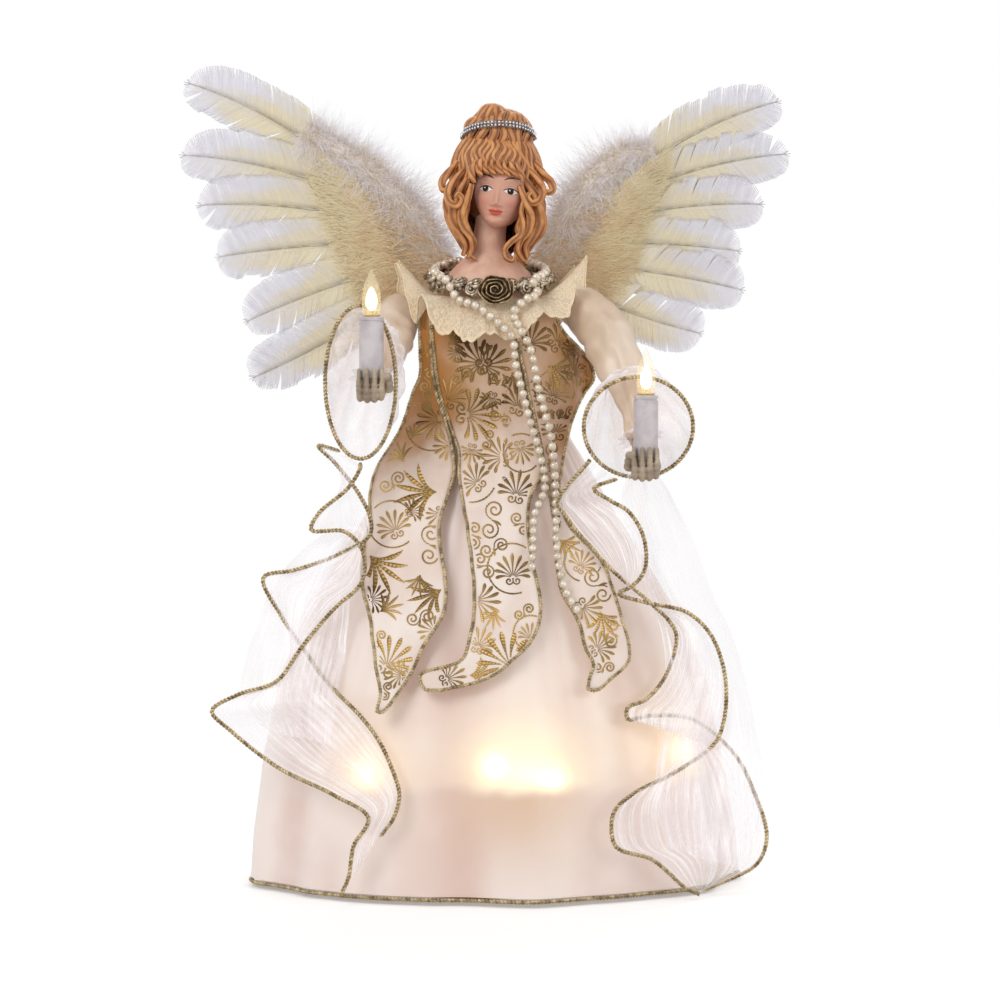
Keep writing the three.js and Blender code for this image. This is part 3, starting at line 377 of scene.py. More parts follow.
def group(name, inputs, output, build):
    """A node group of its own: inputs without a value are places, and build works out the one output."""
    tree = bpy.data.node_groups.new(name, "ShaderNodeTree")
    for label, value in inputs.items():
        kind = "NodeSocketVector" if value is None else "NodeSocketFloat"
        socket = tree.interface.new_socket(label, in_out="INPUT", socket_type=kind)
        if value is not None:
            socket.default_value = value
    tree.interface.new_socket(output, in_out="OUTPUT", socket_type="NodeSocketFloat")
    source = tree.nodes.new("NodeGroupInput")
    sink = tree.nodes.new("NodeGroupOutput")
    tree.links.new(build(Nodes(tree), source.outputs), sink.inputs[0])
    return tree


def build_cloud(made, source):
    """Soft blotches from 0 to 1."""
    return made.step(made.noise(source["Vector"], source["Scale"], Detail=3.0, Roughness=0.55), 0.3, 0.7)


def build_weave(made, source):
    """Threads that cross, as a height."""
    x, y, _ = made.parts(source["Vector"])
    warp = made.math("SINE", made.times(x, source["Across"]))
    weft = made.math("SINE", made.times(y, source["Along"]))
    return made.add(made.times(warp, 0.5), made.times(weft, 0.5))


def build_glow(made, source):
    """How much painted glow a lamp behind the cloth gives a place, from 0 to its strength."""
    values = {0: source["Vector"], 1: source["Centre"]}
    away = made.node("ShaderNodeVectorMath", {"operation": "DISTANCE"}, values)
    share = made.math("DIVIDE", away.outputs["Value"], source["Reach"])
    fall = made.math("POWER", GLOW_LEFT_AT_REACH, made.times(share, share))
    return made.times(fall, source["Strength"])


GLOW_LEFT_AT_REACH = 0.13
CLOUD = group("cloud", {"Vector": None, "Scale": 60.0}, "Mask", build_cloud)
WEAVE = group("weave", {"Vector": None, "Across": 900.0, "Along": 900.0}, "Height", build_weave)
GLOW = group("glow", {"Vector": None, "Centre": None, "Reach": 0.03, "Strength": 1.0}, "Glow", build_glow)


class Finish(Nodes):
    """A material with its shader, its place in the frame and its place on the cloth."""

    def __init__(self, name, colour, roughness, **sockets):
        self.material = bpy.data.materials.new(name)
        self.material.use_nodes = True
        self.material.diffuse_color = (*colour, 1)
        super().__init__(self.material.node_tree)
        self.shader = self.tree.nodes["Principled BSDF"]
        coordinates = self.node("ShaderNodeTexCoord").outputs
        self.place = coordinates["Object"]
        self.cloth = coordinates["UV"]
        self.feed(Base_Color=colour, Roughness=roughness, **sockets)

    def feed(self, **sockets):
        for key, value in sockets.items():
            plug(self.tree, self.shader.inputs[key.replace("_", " ")], value)

    def shared(self, made, **values):
        placed = self.node("ShaderNodeGroup", {"node_tree": made}, values)
        return placed.outputs[0]

    def cloud(self, scale):
        return self.shared(CLOUD, Vector=self.place, Scale=scale)

    def cloth_cloud(self, across, along):
        """Blotches on the cloth itself, finer or longer across and along it."""
        return self.shared(CLOUD, Vector=self.stretched(across, along), Scale=1.0)

    def stretched(self, across, along):
        values = {"Vector": self.cloth, "Scale": (across, along, 1.0)}
        return self.node("ShaderNodeMapping", values=values).outputs[0]

    def glow(self, centre, reach, strength):
        return self.shared(GLOW, Vector=self.place, Centre=tuple(centre * MM), Reach=reach, Strength=strength)

    def weave(self, across, along):
        return self.shared(WEAVE, Vector=self.place, Across=across, Along=along)

    def grain(self, scale):
        return self.noise(self.place, scale, Detail=2.0)

    def bump(self, height, strength, distance):
        values = {"Height": height, "Strength": strength, "Distance": distance}
        self.feed(Normal=self.node("ShaderNodeBump", values=values).outputs[0])

    def unlit(self):
        """The material, whose own light is kept out of the lamps that Cycles aims at."""
        self.material.cycles.emission_sampling = "NONE"
        return self.material


def rgb(red, green, blue):
    """A colour as it shows on screen, from 0 to 255, in the linear values that a shader takes."""
    shares = (red / 255, green / 255, blue / 255)
    return tuple(c / 12.92 if c <= 0.04045 else ((c + 0.055) / 1.055) ** 2.4 for c in shares)


def two_tone(name, low, high, roughness, scale, weave=0.0, thread=900.0, **sockets):
    """A finish whose colour drifts between two tones, with an optional thread bump."""
    made = Finish(name, high, roughness, **sockets)
    mask = made.cloud(scale)
    made.feed(Base_Color=made.blend(mask, low, high))
    made.feed(Roughness=made.add(made.times(mask, 0.12), roughness - 0.06))
    if weave:
        made.bump(made.weave(thread, thread), weave, THREAD_HEIGHT)
    return made.material


THREAD_HEIGHT = 0.00008


# Finishes

# Painted glow where the lamps shine through the skirt in front: column, row, depth, reach and strength
FRONT_GLOWS = [
    (371, 776, 58, 0.01, 1.3), (494, 768, 70, 0.0085, 0.95), (526, 776, 70, 0.0085, 0.5),
    (555, 784, 70, 0.0095, 0.8), (690, 752, 42, 0.012, 1.2), (528, 748, 66, 0.032, 0.2),
    (640, 730, 60, 0.022, 0.16),
]
BACK_GLOW_TURNS = (0.22, 0.5, 0.78)
BACK_GLOW_ACROSS, BACK_GLOW_DEEP, BACK_GLOW_HEIGHT = 90, 69, 50
HALO_REACH, HALO_STRENGTH = 3.4, 0.4
# The painted glow's colour from none to full, as shares of the whole
GLOW_RAMP = [(0.22, (0.07, 0.04, 0.014)), (0.5, (0.3, 0.2, 0.08)), (0.72, (0.6, 0.47, 0.24))]
GLOW_FULL = (0.9, 0.82, 0.6)


def glow_places():
    """Where the lamps' glow through the skirt is painted: place on the cloth, reach and strength."""
    spots = [(photo_point(c, r, d), reach, strength) for c, r, d, reach, strength in FRONT_GLOWS]
    for turn in BACK_GLOW_TURNS:
        angle = turn * math.pi
        place = vec(BACK_GLOW_ACROSS * math.cos(angle), BACK_GLOW_DEEP * math.sin(angle), BACK_GLOW_HEIGHT)
        spots.append((place, 0.012, 0.9))
    return spots


def make_satin():
    """Blush satin with painted shade in its valleys, whose depth is in the texture map, and a painted glow of
    the lamps behind it.
    """
    made = Finish("blush_satin", rgb(246, 228, 219), 0.3, Sheen_Weight=0.25, Sheen_Roughness=0.4,
                  Emission_Strength=1.0)
    mask = made.cloud(26.0)
    fold = made.add(made.parts(made.cloth)[0], made.times(mask, 0.18))
    # Painted shade: darker in the valleys of the folds, lighter on their crests
    colour = made.blend(made.step(fold, 0.12, 0.85), rgb(230, 198, 186), rgb(255, 240, 232))
    total = 0.0
    for centre, reach, strength in glow_places():
        spot = made.glow(centre, reach, strength)
        halo = made.glow(centre, reach * HALO_REACH, strength * HALO_STRENGTH)
        total = made.add(total, made.add(spot, halo))
    # The lamps stand on a shelf inside: below it the painted glow is weakened and a painted shadow darkens the
    # cloth
    shelf = photo_point(520, 794, 70)
    rim = made.add(made.parts(made.place)[2], made.times(mask, 0.004))
    below = made.minus(1.0, made.step(rim, shelf.z * MM - 0.001, shelf.z * MM + 0.006))
    shade = made.times(made.glow(shelf, 0.04, 0.9), below)
    colour = made.blend(shade, colour, rgb(224, 186, 156))
    total = made.times(total, made.minus(1.0, made.times(below, 0.8)))
    # Painted light: the base colour goes warm and pale where the glow is painted
    warm = made.math("MULTIPLY", total, 0.8, limit=True)
    made.feed(Base_Color=made.blend(warm, colour, rgb(255, 238, 208)))
    # The painted glow, given off by the satin itself
    ramp = made.node("ShaderNodeValToRGB", values={"Fac": made.times(total, 0.62)})
    stops = ramp.color_ramp.elements
    stops[0].color = (0, 0, 0, 1)
    stops[1].color = (*GLOW_FULL, 1)
    for share, tone in GLOW_RAMP:
        stop = stops.new(share)
        stop.color = (*tone, 1)
    made.feed(Emission_Color=ramp.outputs[0])
    made.bump(made.weave(16000.0, 9000.0), 0.12, 0.00005)
    return made.unlit()


def make_organza(name, thin, thick):
    """Sheer cloth: fine threads, denser in streaks along its folds and at its edges, with a faint painted glow
    of its own.
    """
    made = Finish(name, rgb(250, 247, 249), 0.42, Sheen_Weight=0.4, Sheen_Roughness=0.3,
                  Emission_Strength=0.22)
    streak = made.cloth_cloud(24.0, 3.0)
    shine = made.times(streak, made.add(made.times(made.cloud(55.0), 0.6), 0.4))
    tone = made.blend(shine, rgb(230, 224, 230), rgb(255, 251, 248))
    # Painted light: the cloth gives off a faint glow in its own tone
    made.feed(Alpha=made.add(made.times(shine, thick - thin), thin), Base_Color=tone, Emission_Color=tone)
    made.bump(made.weave(9000.0, 9000.0), 0.2, THREAD_HEIGHT)
    return made.unlit()


def make_gold_cord():
    """Wound thread in two golds, with fibres along it."""
    made = Finish("antique_gold_thread", rgb(176, 150, 100), 0.42, Metallic=0.6)
    made.feed(Base_Color=made.blend(made.cloud(420.0), rgb(134, 112, 78), rgb(220, 200, 160)))
    made.bump(made.cloth_cloud(60.0, 400.0), 0.4, 0.0001)
    return made.material


def make_print_foil():
    """Gold foil, dull in places."""
    made = Finish("gold_foil_print", rgb(176, 146, 84), 0.3, Metallic=0.85)
    made.feed(Base_Color=made.blend(made.cloud(38.0), rgb(92, 66, 36), rgb(222, 184, 114)))
    made.bump(made.cloud(2500.0), 0.15, 0.00004)
    return made.material


def make_lace():
    """Net with flowers: thin where the net is open, and gold in the petals and along the scalloped edge."""
    made = Finish("cream_lace", rgb(236, 220, 188), 0.6, Sheen_Weight=0.3)

    def cells(feature, across, along, uneven):
        return made.node("ShaderNodeTexVoronoi", {"feature": feature}, {
            "Vector": made.stretched(across, along), "Scale": 1.0, "Randomness": uneven,
        }).outputs["Distance"]

    threads = made.minus(1.0, made.step(cells("DISTANCE_TO_EDGE", 230.0, 26.0, 0.35), 0.07, 0.16))
    petals = made.step(made.math("SINE", made.times(cells("F1", 44.0, 5.0, 0.5), 16.0)), 0.25, 0.6)
    border = made.step(made.parts(made.cloth)[1], 0.93, 0.96)
    solid = made.more(made.more(threads, petals), border)
    gold = made.times(made.more(border, petals), 0.42)
    made.feed(Alpha=made.math("ADD", made.times(solid, 0.6), 0.4, limit=True))
    made.feed(Base_Color=made.blend(gold, rgb(255, 242, 216), rgb(232, 184, 116)))
    made.bump(solid, 0.35, 0.0001)
    return made.material


def make_feather_vane():
    """Cream towards the root and on the upper vane, white and a little see-through below and at the tip, with
    a faint painted glow.
    """
    made = Finish("white_feather", rgb(246, 244, 236), 0.7, Sheen_Weight=0.2, Emission_Strength=0.06)
    across, along, _ = made.parts(made.cloth)
    upper = made.step(made.away(across, 0.42), 0.42, 0.2)
    along = made.add(along, made.times(made.cloud(70.0), 0.14))
    pale = made.step(made.minus(along, made.times(upper, 0.3)), 0.3, 0.72)
    colour = made.blend(pale, rgb(238, 225, 188), rgb(248, 246, 252))
    barbs = made.cloth_cloud(1.2, 240.0)
    # Painted shade: grey between the barbs
    colour = made.blend(made.times(made.minus(1.0, barbs), 0.42), colour, rgb(198, 192, 204))
    # Painted shade: grey along the vane's outer edge
    rim = made.times(made.step(made.away(across, 0.5), 0.465, 0.5), 0.45)
    colour = made.blend(rim, colour, rgb(150, 146, 156))
    veil = made.times(made.times(pale, barbs), 0.2)
    fade = made.minus(0.96, made.add(veil, made.times(pale, 0.12)))
    # Painted light: the vane gives off a faint glow in its own colour
    made.feed(Base_Color=colour, Emission_Color=colour, Alpha=fade)
    made.bump(barbs, 0.3, 0.00015)
    return made.unlit()


def make_hair_paint():
    """Caramel paint with painted shade in the grooves, whose places are in the texture map."""
    made = Finish("caramel_hair", rgb(205, 130, 75), 0.5)
    lit = made.blend(made.cloud(240.0), rgb(190, 122, 70), rgb(230, 164, 102))
    # Painted shade: dark in the grooves, at the sides of each lock and under it
    crest = made.step(made.parts(made.cloth)[0], 0.2, 0.8)
    made.feed(Base_Color=made.blend(crest, rgb(112, 58, 28), lit))
    made.bump(made.grain(900.0), 0.25, 0.0002)
    return made.material


def make_bisque(name, low, high):
    made = Finish(name, high, 0.5, Subsurface_Weight=0.08, Subsurface_Scale=0.002)
    made.feed(Base_Color=made.blend(made.cloud(130.0), low, high))
    made.bump(made.grain(3000.0), 0.06, 0.0001)
    return made.material


def make_face_bisque():
    """Bisque with the paint of the face, which is held as colours at the mesh's points."""
    made = Finish("painted_bisque", rgb(236, 198, 178), 0.55, Subsurface_Weight=0.03, Subsurface_Scale=0.0008,
                  Specular_IOR_Level=0.25)
    paint = made.node("ShaderNodeAttribute", {"attribute_name": "paint"})
    mask = made.times(made.cloud(150.0), 0.1)
    made.feed(Base_Color=made.blend(mask, paint.outputs["Color"], rgb(244, 214, 200), "MULTIPLY"))
    made.bump(made.grain(3000.0), 0.05, 0.0001)
    return made.material


def make_glowing(name, low, high, strength, alpha, roughness=0.05):
    """Glass or a filament that shines, between two warm tones."""
    made = Finish(name, high, roughness, Emission_Strength=strength, Alpha=alpha)
    colour = made.blend(made.cloud(400.0), low, high)
    made.feed(Base_Color=colour, Emission_Color=colour)
    return made.unlit()


def make_printed_sheer():
    """Blush sheer that goes golden towards the neck, where gold lies behind it, and darker there with painted
    shade.
    """
    made = Finish("blush_sheer", rgb(236, 216, 204), 0.5, Sheen_Weight=0.4, Sheen_Roughness=0.4)
    mask = made.cloud(34.0)
    across, _, up = made.parts(made.place)
    height = made.add(up, made.times(mask, 0.03))
    sides = made.step(made.add(made.away(across, 0.004), made.times(mask, 0.012)), 0.014, 0.034)
    gold = made.times(made.step(height, 0.17, 0.225), sides)
    plain = made.blend(mask, rgb(236, 214, 200), rgb(250, 236, 226))
    # Painted shade: darker towards the neck
    shaded = made.blend(made.step(height, 0.165, 0.235), plain, rgb(206, 170, 138))
    made.feed(Base_Color=made.blend(gold, shaded, rgb(174, 114, 48)))
    made.bump(made.weave(9000.0, 9000.0), 0.3, THREAD_HEIGHT)
    return made.material


def make_marabou_down(name, root, tip, inner=None):
    """Strands whose colour follows their length; towards the shoulder it nears the inner colour, if any. They
    give off a faint painted glow.
    """
    made = Finish(name, tip, 0.75, Sheen_Weight=0.2, Emission_Strength=0.1)
    patch = made.cloud(90.0)
    along = made.add(made.parts(made.cloth)[1], made.times(patch, 0.25))
    colour = made.blend(made.step(along, 0.1, 0.8), root, tip)
    if inner:
        outward = made.add(made.away(made.parts(made.place)[0], 0.0), made.times(patch, 0.016))
        colour = made.blend(made.step(outward, 0.078, 0.036), colour, inner)
    # Painted light: the strands give off a faint glow in their own colour
    made.feed(Base_Color=colour, Emission_Color=colour)
    return made.unlit()


SATIN = make_satin()
ORGANZA = make_organza("white_organza", 0.2, 0.8)
BELL_NET = make_organza("bell_organza", 0.42, 0.98)
CUFF_NET = make_organza("cuff_organza", 0.5, 0.95)
GOLD_CORD = make_gold_cord()
FOIL = make_print_foil()
LACE = make_lace()
LACE_THREAD = two_tone("lace_thread", rgb(226, 206, 168), rgb(252, 240, 214), 0.45, 700.0)
FEATHER = make_feather_vane()
HAIR = make_hair_paint()
PLASTIC = two_tone("cone_plastic", rgb(232, 229, 222), rgb(244, 242, 236), 0.45, 30.0)
HOLDER = two_tone("holder_plastic", rgb(228, 224, 212), rgb(240, 237, 228), 0.4, 90.0)
CARD = two_tone("backing_card", rgb(226, 221, 208), rgb(240, 236, 226), 0.85, 220.0)
CANDLE = two_tone("frosted_candle", rgb(192, 182, 184), rgb(218, 208, 210), 0.4, 160.0, Coat_Weight=0.15)
PEARL = two_tone("ivory_pearl", rgb(206, 188, 162), rgb(240, 228, 210), 0.16, 420.0, Metallic=0.2,
                 Coat_Weight=0.9, Coat_Roughness=0.06)
SILVER = two_tone("silver_setting", rgb(70, 64, 56), rgb(150, 146, 140), 0.3, 900.0, Metallic=0.9)
STONE = two_tone("clear_stone", rgb(130, 130, 134), rgb(244, 244, 250), 0.12, 1500.0, Metallic=0.9)
PEWTER = two_tone("pewter_braid", rgb(92, 76, 58), rgb(214, 200, 178), 0.34, 600.0, Metallic=0.8)
RIBBON = two_tone("bronze_ribbon", rgb(88, 66, 44), rgb(210, 184, 144), 0.34, 520.0, weave=0.6, thread=7000.0,
                  Metallic=0.75)
HAND = make_bisque("grey_bisque", rgb(150, 132, 112), rgb(194, 176, 154))
SHEER = make_printed_sheer()
BISQUE = make_bisque("porcelain_bisque", rgb(216, 166, 142), rgb(234, 192, 168))
FACE_BISQUE = make_face_bisque()
# Sleeve satin, darker and warmer than the skirt's: partly its own tone and partly painted shade
SLEEVE_SATIN_AND_SHADE = two_tone("sleeve_satin", rgb(214, 186, 158), rgb(240, 220, 200), 0.33, 40.0, Sheen_Weight=0.3)
GLASS = make_glowing("lit_lamp_glass", rgb(255, 232, 176), rgb(255, 250, 226), 0.12, 0.2)
LAMP_BASE = two_tone("amber_base", rgb(226, 186, 110), rgb(246, 222, 160), 0.3, 300.0)
GLOW_CORE = make_glowing("lamp_glow", rgb(255, 226, 150), rgb(255, 250, 222), 2.4, 1.0)
FILAMENT = make_glowing("filament_wire", rgb(220, 160, 60), rgb(250, 200, 110), 0.8, 1.0, roughness=0.4)
SKIRT_LAMP = make_glowing("skirt_lamp_glass", rgb(255, 205, 110), rgb(255, 234, 170), 1.4, 1.0)
QUILL_HORN = two_tone("quill_horn", rgb(168, 160, 140), rgb(214, 208, 190), 0.4, 300.0)
MARABOU = make_marabou_down("marabou_down", rgb(234, 220, 198), rgb(242, 238, 244))
DOWN = make_marabou_down("wing_down", rgb(232, 216, 178), rgb(240, 227, 192), rgb(228, 200, 160))


# Light and floor

def area_light(name, place, aim, size, power):
    data = bpy.data.lights.new(name, "AREA")
    data.shape = "RECTANGLE"
    data.size, data.size_y = size
    data.energy = power
    light = bpy.data.objects.new(name, data)
    scene.collection.objects.link(light)
    light.location = place
    light.rotation_euler = (Vector(aim) - Vector(place)).to_track_quat("-Z", "Y").to_euler()


def make_world():
    """White to the camera and in reflections, and a softer white as light."""
    world = bpy.data.worlds.new("studio")
    scene.world = world
    world.use_nodes = True
    world.node_tree.nodes.clear()
    made = Nodes(world.node_tree)
    soft = made.node("ShaderNodeBackground", values={"Color": (1, 1, 1), "Strength": 0.52}).outputs[0]
    white = made.node("ShaderNodeBackground", values={"Color": (1, 1, 1), "Strength": 1.0}).outputs[0]
    rays = made.node("ShaderNodeLightPath").outputs
    mirrored = made.more(rays["Is Glossy Ray"], rays["Is Transmission Ray"])
    seen = made.more(rays["Is Camera Ray"], mirrored)
    choice = made.node("ShaderNodeMixShader", values={0: seen, 1: soft, 2: white})
    made.node("ShaderNodeOutputWorld", values={0: choice.outputs[0]})


def make_floor():
    """A pale round floor that fades out into the white round it and keeps the shadow."""
    bpy.ops.mesh.primitive_circle_add(vertices=96, radius=0.9, fill_type="NGON", location=(0, 0, 0))
    floor = bpy.context.active_object
    floor.name = "floor"
    made = Finish("pale_floor", rgb(236, 236, 236), 0.9, Emission_Color=(1, 1, 1))
    away = made.node("ShaderNodeVectorMath", {"operation": "LENGTH"}, {0: made.place})
    fade = made.step(away.outputs["Value"], 0.12, 0.6)
    rays = made.node("ShaderNodeLightPath").outputs
    made.feed(Emission_Strength=made.times(rays["Is Camera Ray"], 0.3))
    clear = made.node("ShaderNodeBsdfTransparent").outputs[0]
    choice = made.node("ShaderNodeMixShader", values={0: fade, 1: made.shader.outputs[0], 2: clear})
    out = next(n for n in made.tree.nodes if n.type == "OUTPUT_MATERIAL")
    made.tree.links.new(choice.outputs[0], out.inputs[0])
    floor.data.materials.append(made.material)


scene.view_settings.view_transform = "Standard"
make_world()
make_floor()
area_light("key", (-0.9, -1.1, 1.2), (0, 0, 0.18), (0.9, 0.9), 10.5)
area_light("fill", (1.2, -1.0, 0.6), (0, 0, 0.18), (1.1, 0.9), 5.0)
area_light("back", (0.2, 1.2, 0.9), (0, 0, 0.2), (1.4, 0.7), 8.0)


# Gown form: half sizes of the torso and of the skirt at a height

SEAT_GAP = 0.3
TORSO_HALF_WIDTH, TORSO_HALF_DEPTH = 28.5, 18
TORSO_BOTTOM, TORSO_TOP, TORSO_POWER = 174, 236, 2.4
WAIST_HEIGHT, HEM_HEIGHT = 188, 3.6
HEM_HALF_WIDTH, HEM_HALF_DEPTH = 98, 76
SKIRT_THICKNESS, FOLD_DEPTH, FOLD_COUNT, HEM_CORD_RADIUS = 1, 3.2, 9, 0.9
TORSO_SHARES = [(0, 0.94), (0.25, 0.97), (0.5, 1), (0.78, 1), (0.9, 0.95), (1, 0.82)]
FLARE_SHARES = [
    (0, 0), (0.08, 0.13), (0.19, 0.3), (0.31, 0.5), (0.43, 0.68), (0.585, 0.85), (0.74, 0.93), (0.9, 0.985),
    (1, 1),
]


def torso_half(height):
    share = read_shares(TORSO_SHARES, (height - TORSO_BOTTOM) / (TORSO_TOP - TORSO_BOTTOM))
    return TORSO_HALF_WIDTH * share, TORSO_HALF_DEPTH * share


def skirt_half(height):
    wide, deep = torso_half(WAIST_HEIGHT)
    offset = SEAT_GAP + SKIRT_THICKNESS / 2
    flare = read_shares(FLARE_SHARES, (WAIST_HEIGHT - height) / (WAIST_HEIGHT - HEM_HEIGHT))
    return mix(wide + offset, HEM_HALF_WIDTH, flare), mix(deep + offset, HEM_HALF_DEPTH, flare)


def gown_half(height):
    return torso_half(height) if height > WAIST_HEIGHT else skirt_half(height)


def roundness(height):
    if height >= WAIST_HEIGHT:
        return TORSO_POWER
    return mix(TORSO_POWER, 2, min(1, (WAIST_HEIGHT - height) / TORSO_HALF_DEPTH))


def form_point(turn, half, power, height):
    c, s = math.cos(turn), math.sin(turn)
    x = half[0] * math.copysign(abs(c) ** (2 / power), c)
    y = half[1] * math.copysign(abs(s) ** (2 / power), s)
    return vec(x, y, height)


def ripple(turn, height):
    share = max(0, (WAIST_HEIGHT - height) / (WAIST_HEIGHT - HEM_HEIGHT))
    waves = 0.65 * math.cos(FOLD_COUNT * turn + math.sin(2 * turn)) + 0.35 * math.cos((FOLD_COUNT + 4) * turn)
    return FOLD_DEPTH * share ** 1.3 * waves


def skirt_point(turn, height, offset):
    wide, deep = skirt_half(height)
    out = offset + ripple(turn, height)
    return form_point(turn, (wide + out, deep + out), roundness(height), height)


def depth_clear_of_skirt(x, height, clearance):
    wide, deep = gown_half(height)
    out = clearance + FOLD_DEPTH + SKIRT_THICKNESS / 2
    reach = min(1, abs(x) / (wide + out))
    return (deep + out) * math.sqrt(1 - reach * reach)


# Cords of two twisted plies

PLY_REACH, PLY_RADIUS, STEPS_PER_TURN, CORD_PITCH = 0.48, 0.52, 8, 3.0


def twisted_cord(name, path, radius, pitch, body, replaces=(), closed=False, material=GOLD_CORD,
                 slot="gold_cord"):
    turns = max(2, round(length_of(path, closed) / pitch))
    steps = turns * STEPS_PER_TURN
    points = even(path, steps if closed else steps + 1, closed, smooth=False)
    frames = frames_along(points, closed)
    shape = Shape()
    for ply in range(2):
        line = []
        for k, (p, (_, side, up)) in enumerate(zip(points, frames)):
            angle = TAU * turns * k / steps + ply * math.pi
            line.append(p + (side * math.cos(angle) + up * math.sin(angle)) * radius * PLY_REACH)
        shape.tube(line, radius * PLY_RADIUS, sides=6, closed=closed)
    return shape.piece(name, body, slot, material, replaces)


def dense(points, pitch=0.8):
    rough = [curve_at(points, k / 200) for k in range(201)]
    return even(points, max(8, int(length_of(rough) / pitch)))


# Satin skirt and its hem

GATHER_DEPTH, GATHERS, SOFT_DEPTH, CREASE_DEPTH = 0.38, 54, 2.8, 0.8


def make_skirt():
    columns, rows = 216, 72
    shape = Shape()
    grid = []
    places = []
    for i in range(rows + 1):
        share = i / rows
        height = mix(WAIST_HEIGHT, HEM_HEIGHT, share)
        line = []
        marks = []
        for turn in turns_of(columns):
            c, s = math.cos(turn), math.sin(turn)
            gather = GATHER_DEPTH * (1 - share) ** 2 * math.cos(GATHERS * turn + 3 * math.sin(5 * turn))
            soft = SOFT_DEPTH * share * wander(3.4 * c, 3.4 * s, share * 1.6)
            crease = CREASE_DEPTH * ease(share * 2) * wander(7 * c, 7 * s, share * 3 + 7)
            line.append(skirt_point(turn, height, gather + soft + crease))
            # The texture map holds each place's fold depth, from which the satin paints shade in the valleys
            depth = (ripple(turn, height) + soft + crease) / FOLD_DEPTH + gather
            marks.append((clamp(0.55 + 0.4 * depth), share))
        grid.append(line)
        places.append(marks)
    shape.grid(grid, around=True, flip=True, places=places)
    skirt = shape.piece("satin_skirt_cloth", "figure", "satin", SATIN, ["satin_skirt"])
    hem = [vec(p.x, p.y, HEM_HEIGHT - SEAT_GAP - HEM_CORD_RADIUS) for p in grid[-1]]
    cord = twisted_cord("hem_twisted_cord", hem, HEM_CORD_RADIUS, CORD_PITCH, "figure", ["hem_cord"],
                        closed=True)


# The pad that the wings are hinged on, in metres
PAD_PLACE, PAD_SIZE, PAD_BEVEL = (0, 0.0185, 0.227), (0.018, 0.003, 0.014), 0.0008


def make_torso():
    """Bodice, smooth and slightly gathered, with the pad that the wings are hinged on."""
    shape = Shape()
    rows = 32
    grid = []
    for i in range(rows + 1):
        height = mix(TORSO_BOTTOM, TORSO_TOP, i / rows)
        wide, deep = torso_half(height)
        line = []
        for turn in turns_of(96):
            gather = 0.22 * math.cos(40 * turn + 2 * math.sin(3 * turn)) * (1 - i / rows)
            soft = wander(5 * math.cos(turn), 5 * math.sin(turn), i / 16)
            gather += 0.5 * soft * math.sin(math.pi * i / rows)
            line.append(form_point(turn, (wide + gather, deep + gather), TORSO_POWER, height))
        grid.append(line)
    rim = grid[-1]
    for shrink in (0.6, 0.2):
        grid.append([vec(p.x * shrink, p.y * shrink, TORSO_TOP) for p in rim])
    shape.grid(grid, around=True)
    shape.piece("satin_bodice", "figure", "satin", SATIN, ["torso"])
    bpy.ops.object.select_all(action="DESELECT")
    bpy.ops.mesh.primitive_cube_add(size=1, location=PAD_PLACE)
    pad = bpy.context.active_object
    pad.name = "wing_hinge_pad"
    pad.scale = PAD_SIZE
    apply_transform()
    bpy.ops.object.mode_set(mode="EDIT")
    bpy.ops.mesh.select_all(action="SELECT")
    bpy.ops.mesh.bevel(offset=PAD_BEVEL, segments=3, affect="EDGES")
    bpy.ops.object.mode_set(mode="OBJECT")
    pad.data.materials.append(SATIN)
    keep(pad, "figure")


make_skirt()
make_torso()


# Printed overdress: three panels, each row a pixel row of the photograph with its left and its right

LEFT_PANEL = [
    (304, 422, 430), (322, 420, 430), (345, 420, 431), (375, 420, 433), (392, 413, 436), (430, 400, 448),
    (470, 376, 454), (495, 370, 448), (520, 370, 440), (545, 364, 440), (585, 362, 446), (615, 369, 443),
    (645, 373, 424), (670, 376, 413), (695, 380, 397), (712, 376, 384),
]
CENTRE_PANEL = [
    (304, 434, 508), (322, 432, 511), (350, 434, 516), (395, 440, 524), (430, 452, 533), (452, 459, 538),
    (475, 459, 542), (495, 462, 531), (520, 466, 528), (555, 471, 531), (585, 474, 538), (610, 474, 541),
    (628, 472, 538), (645, 468, 529), (662, 460, 511), (674, 421, 497), (682, 420, 480), (690, 424, 446),
]
RIGHT_PANEL = [
    (304, 512, 552), (330, 516, 562), (345, 519, 576), (362, 522, 590), (378, 526, 594), (392, 528, 585),
    (415, 534, 574), (445, 541, 566), (475, 546, 561), (500, 551, 560), (525, 554, 569), (545, 555, 587),
    (565, 557, 604), (592, 562, 614), (615, 575, 621), (632, 582, 626), (650, 586, 630), (664, 594, 628),
    (678, 590, 613), (690, 588, 600),
]
PANEL_THICKNESS, PANEL_SPREAD, PANEL_LIFT, PANEL_POWER = 0.9, 6, 3.6, 2.3
PLEAT_DEPTH, PLEAT_PITCH = 0.8, 15
PANEL_LIFT_SHARES = [(0, 1), (0.62, 1), (0.86, 0.7), (0.94, 0.35), (1, 0.35)]
PANEL_CLOTH = 0.36
FOIL_LIFT = 0.3


def panel_depth(x, height):
    wide, deep = gown_half(height)
    lift = PANEL_LIFT * read_shares(PANEL_LIFT_SHARES, height / TORSO_TOP) + PANEL_THICKNESS
    reach = min(1, abs(x) / (wide + PANEL_SPREAD + lift))
    fall = clamp((WAIST_HEIGHT - height) / WAIST_HEIGHT)
    pleat = PLEAT_DEPTH * (1 + fall) * (1 - math.cos(x / PLEAT_PITCH * TAU)) / 2
    return (deep + lift) * (1 - reach ** PANEL_POWER) ** (1 / PANEL_POWER) + pleat


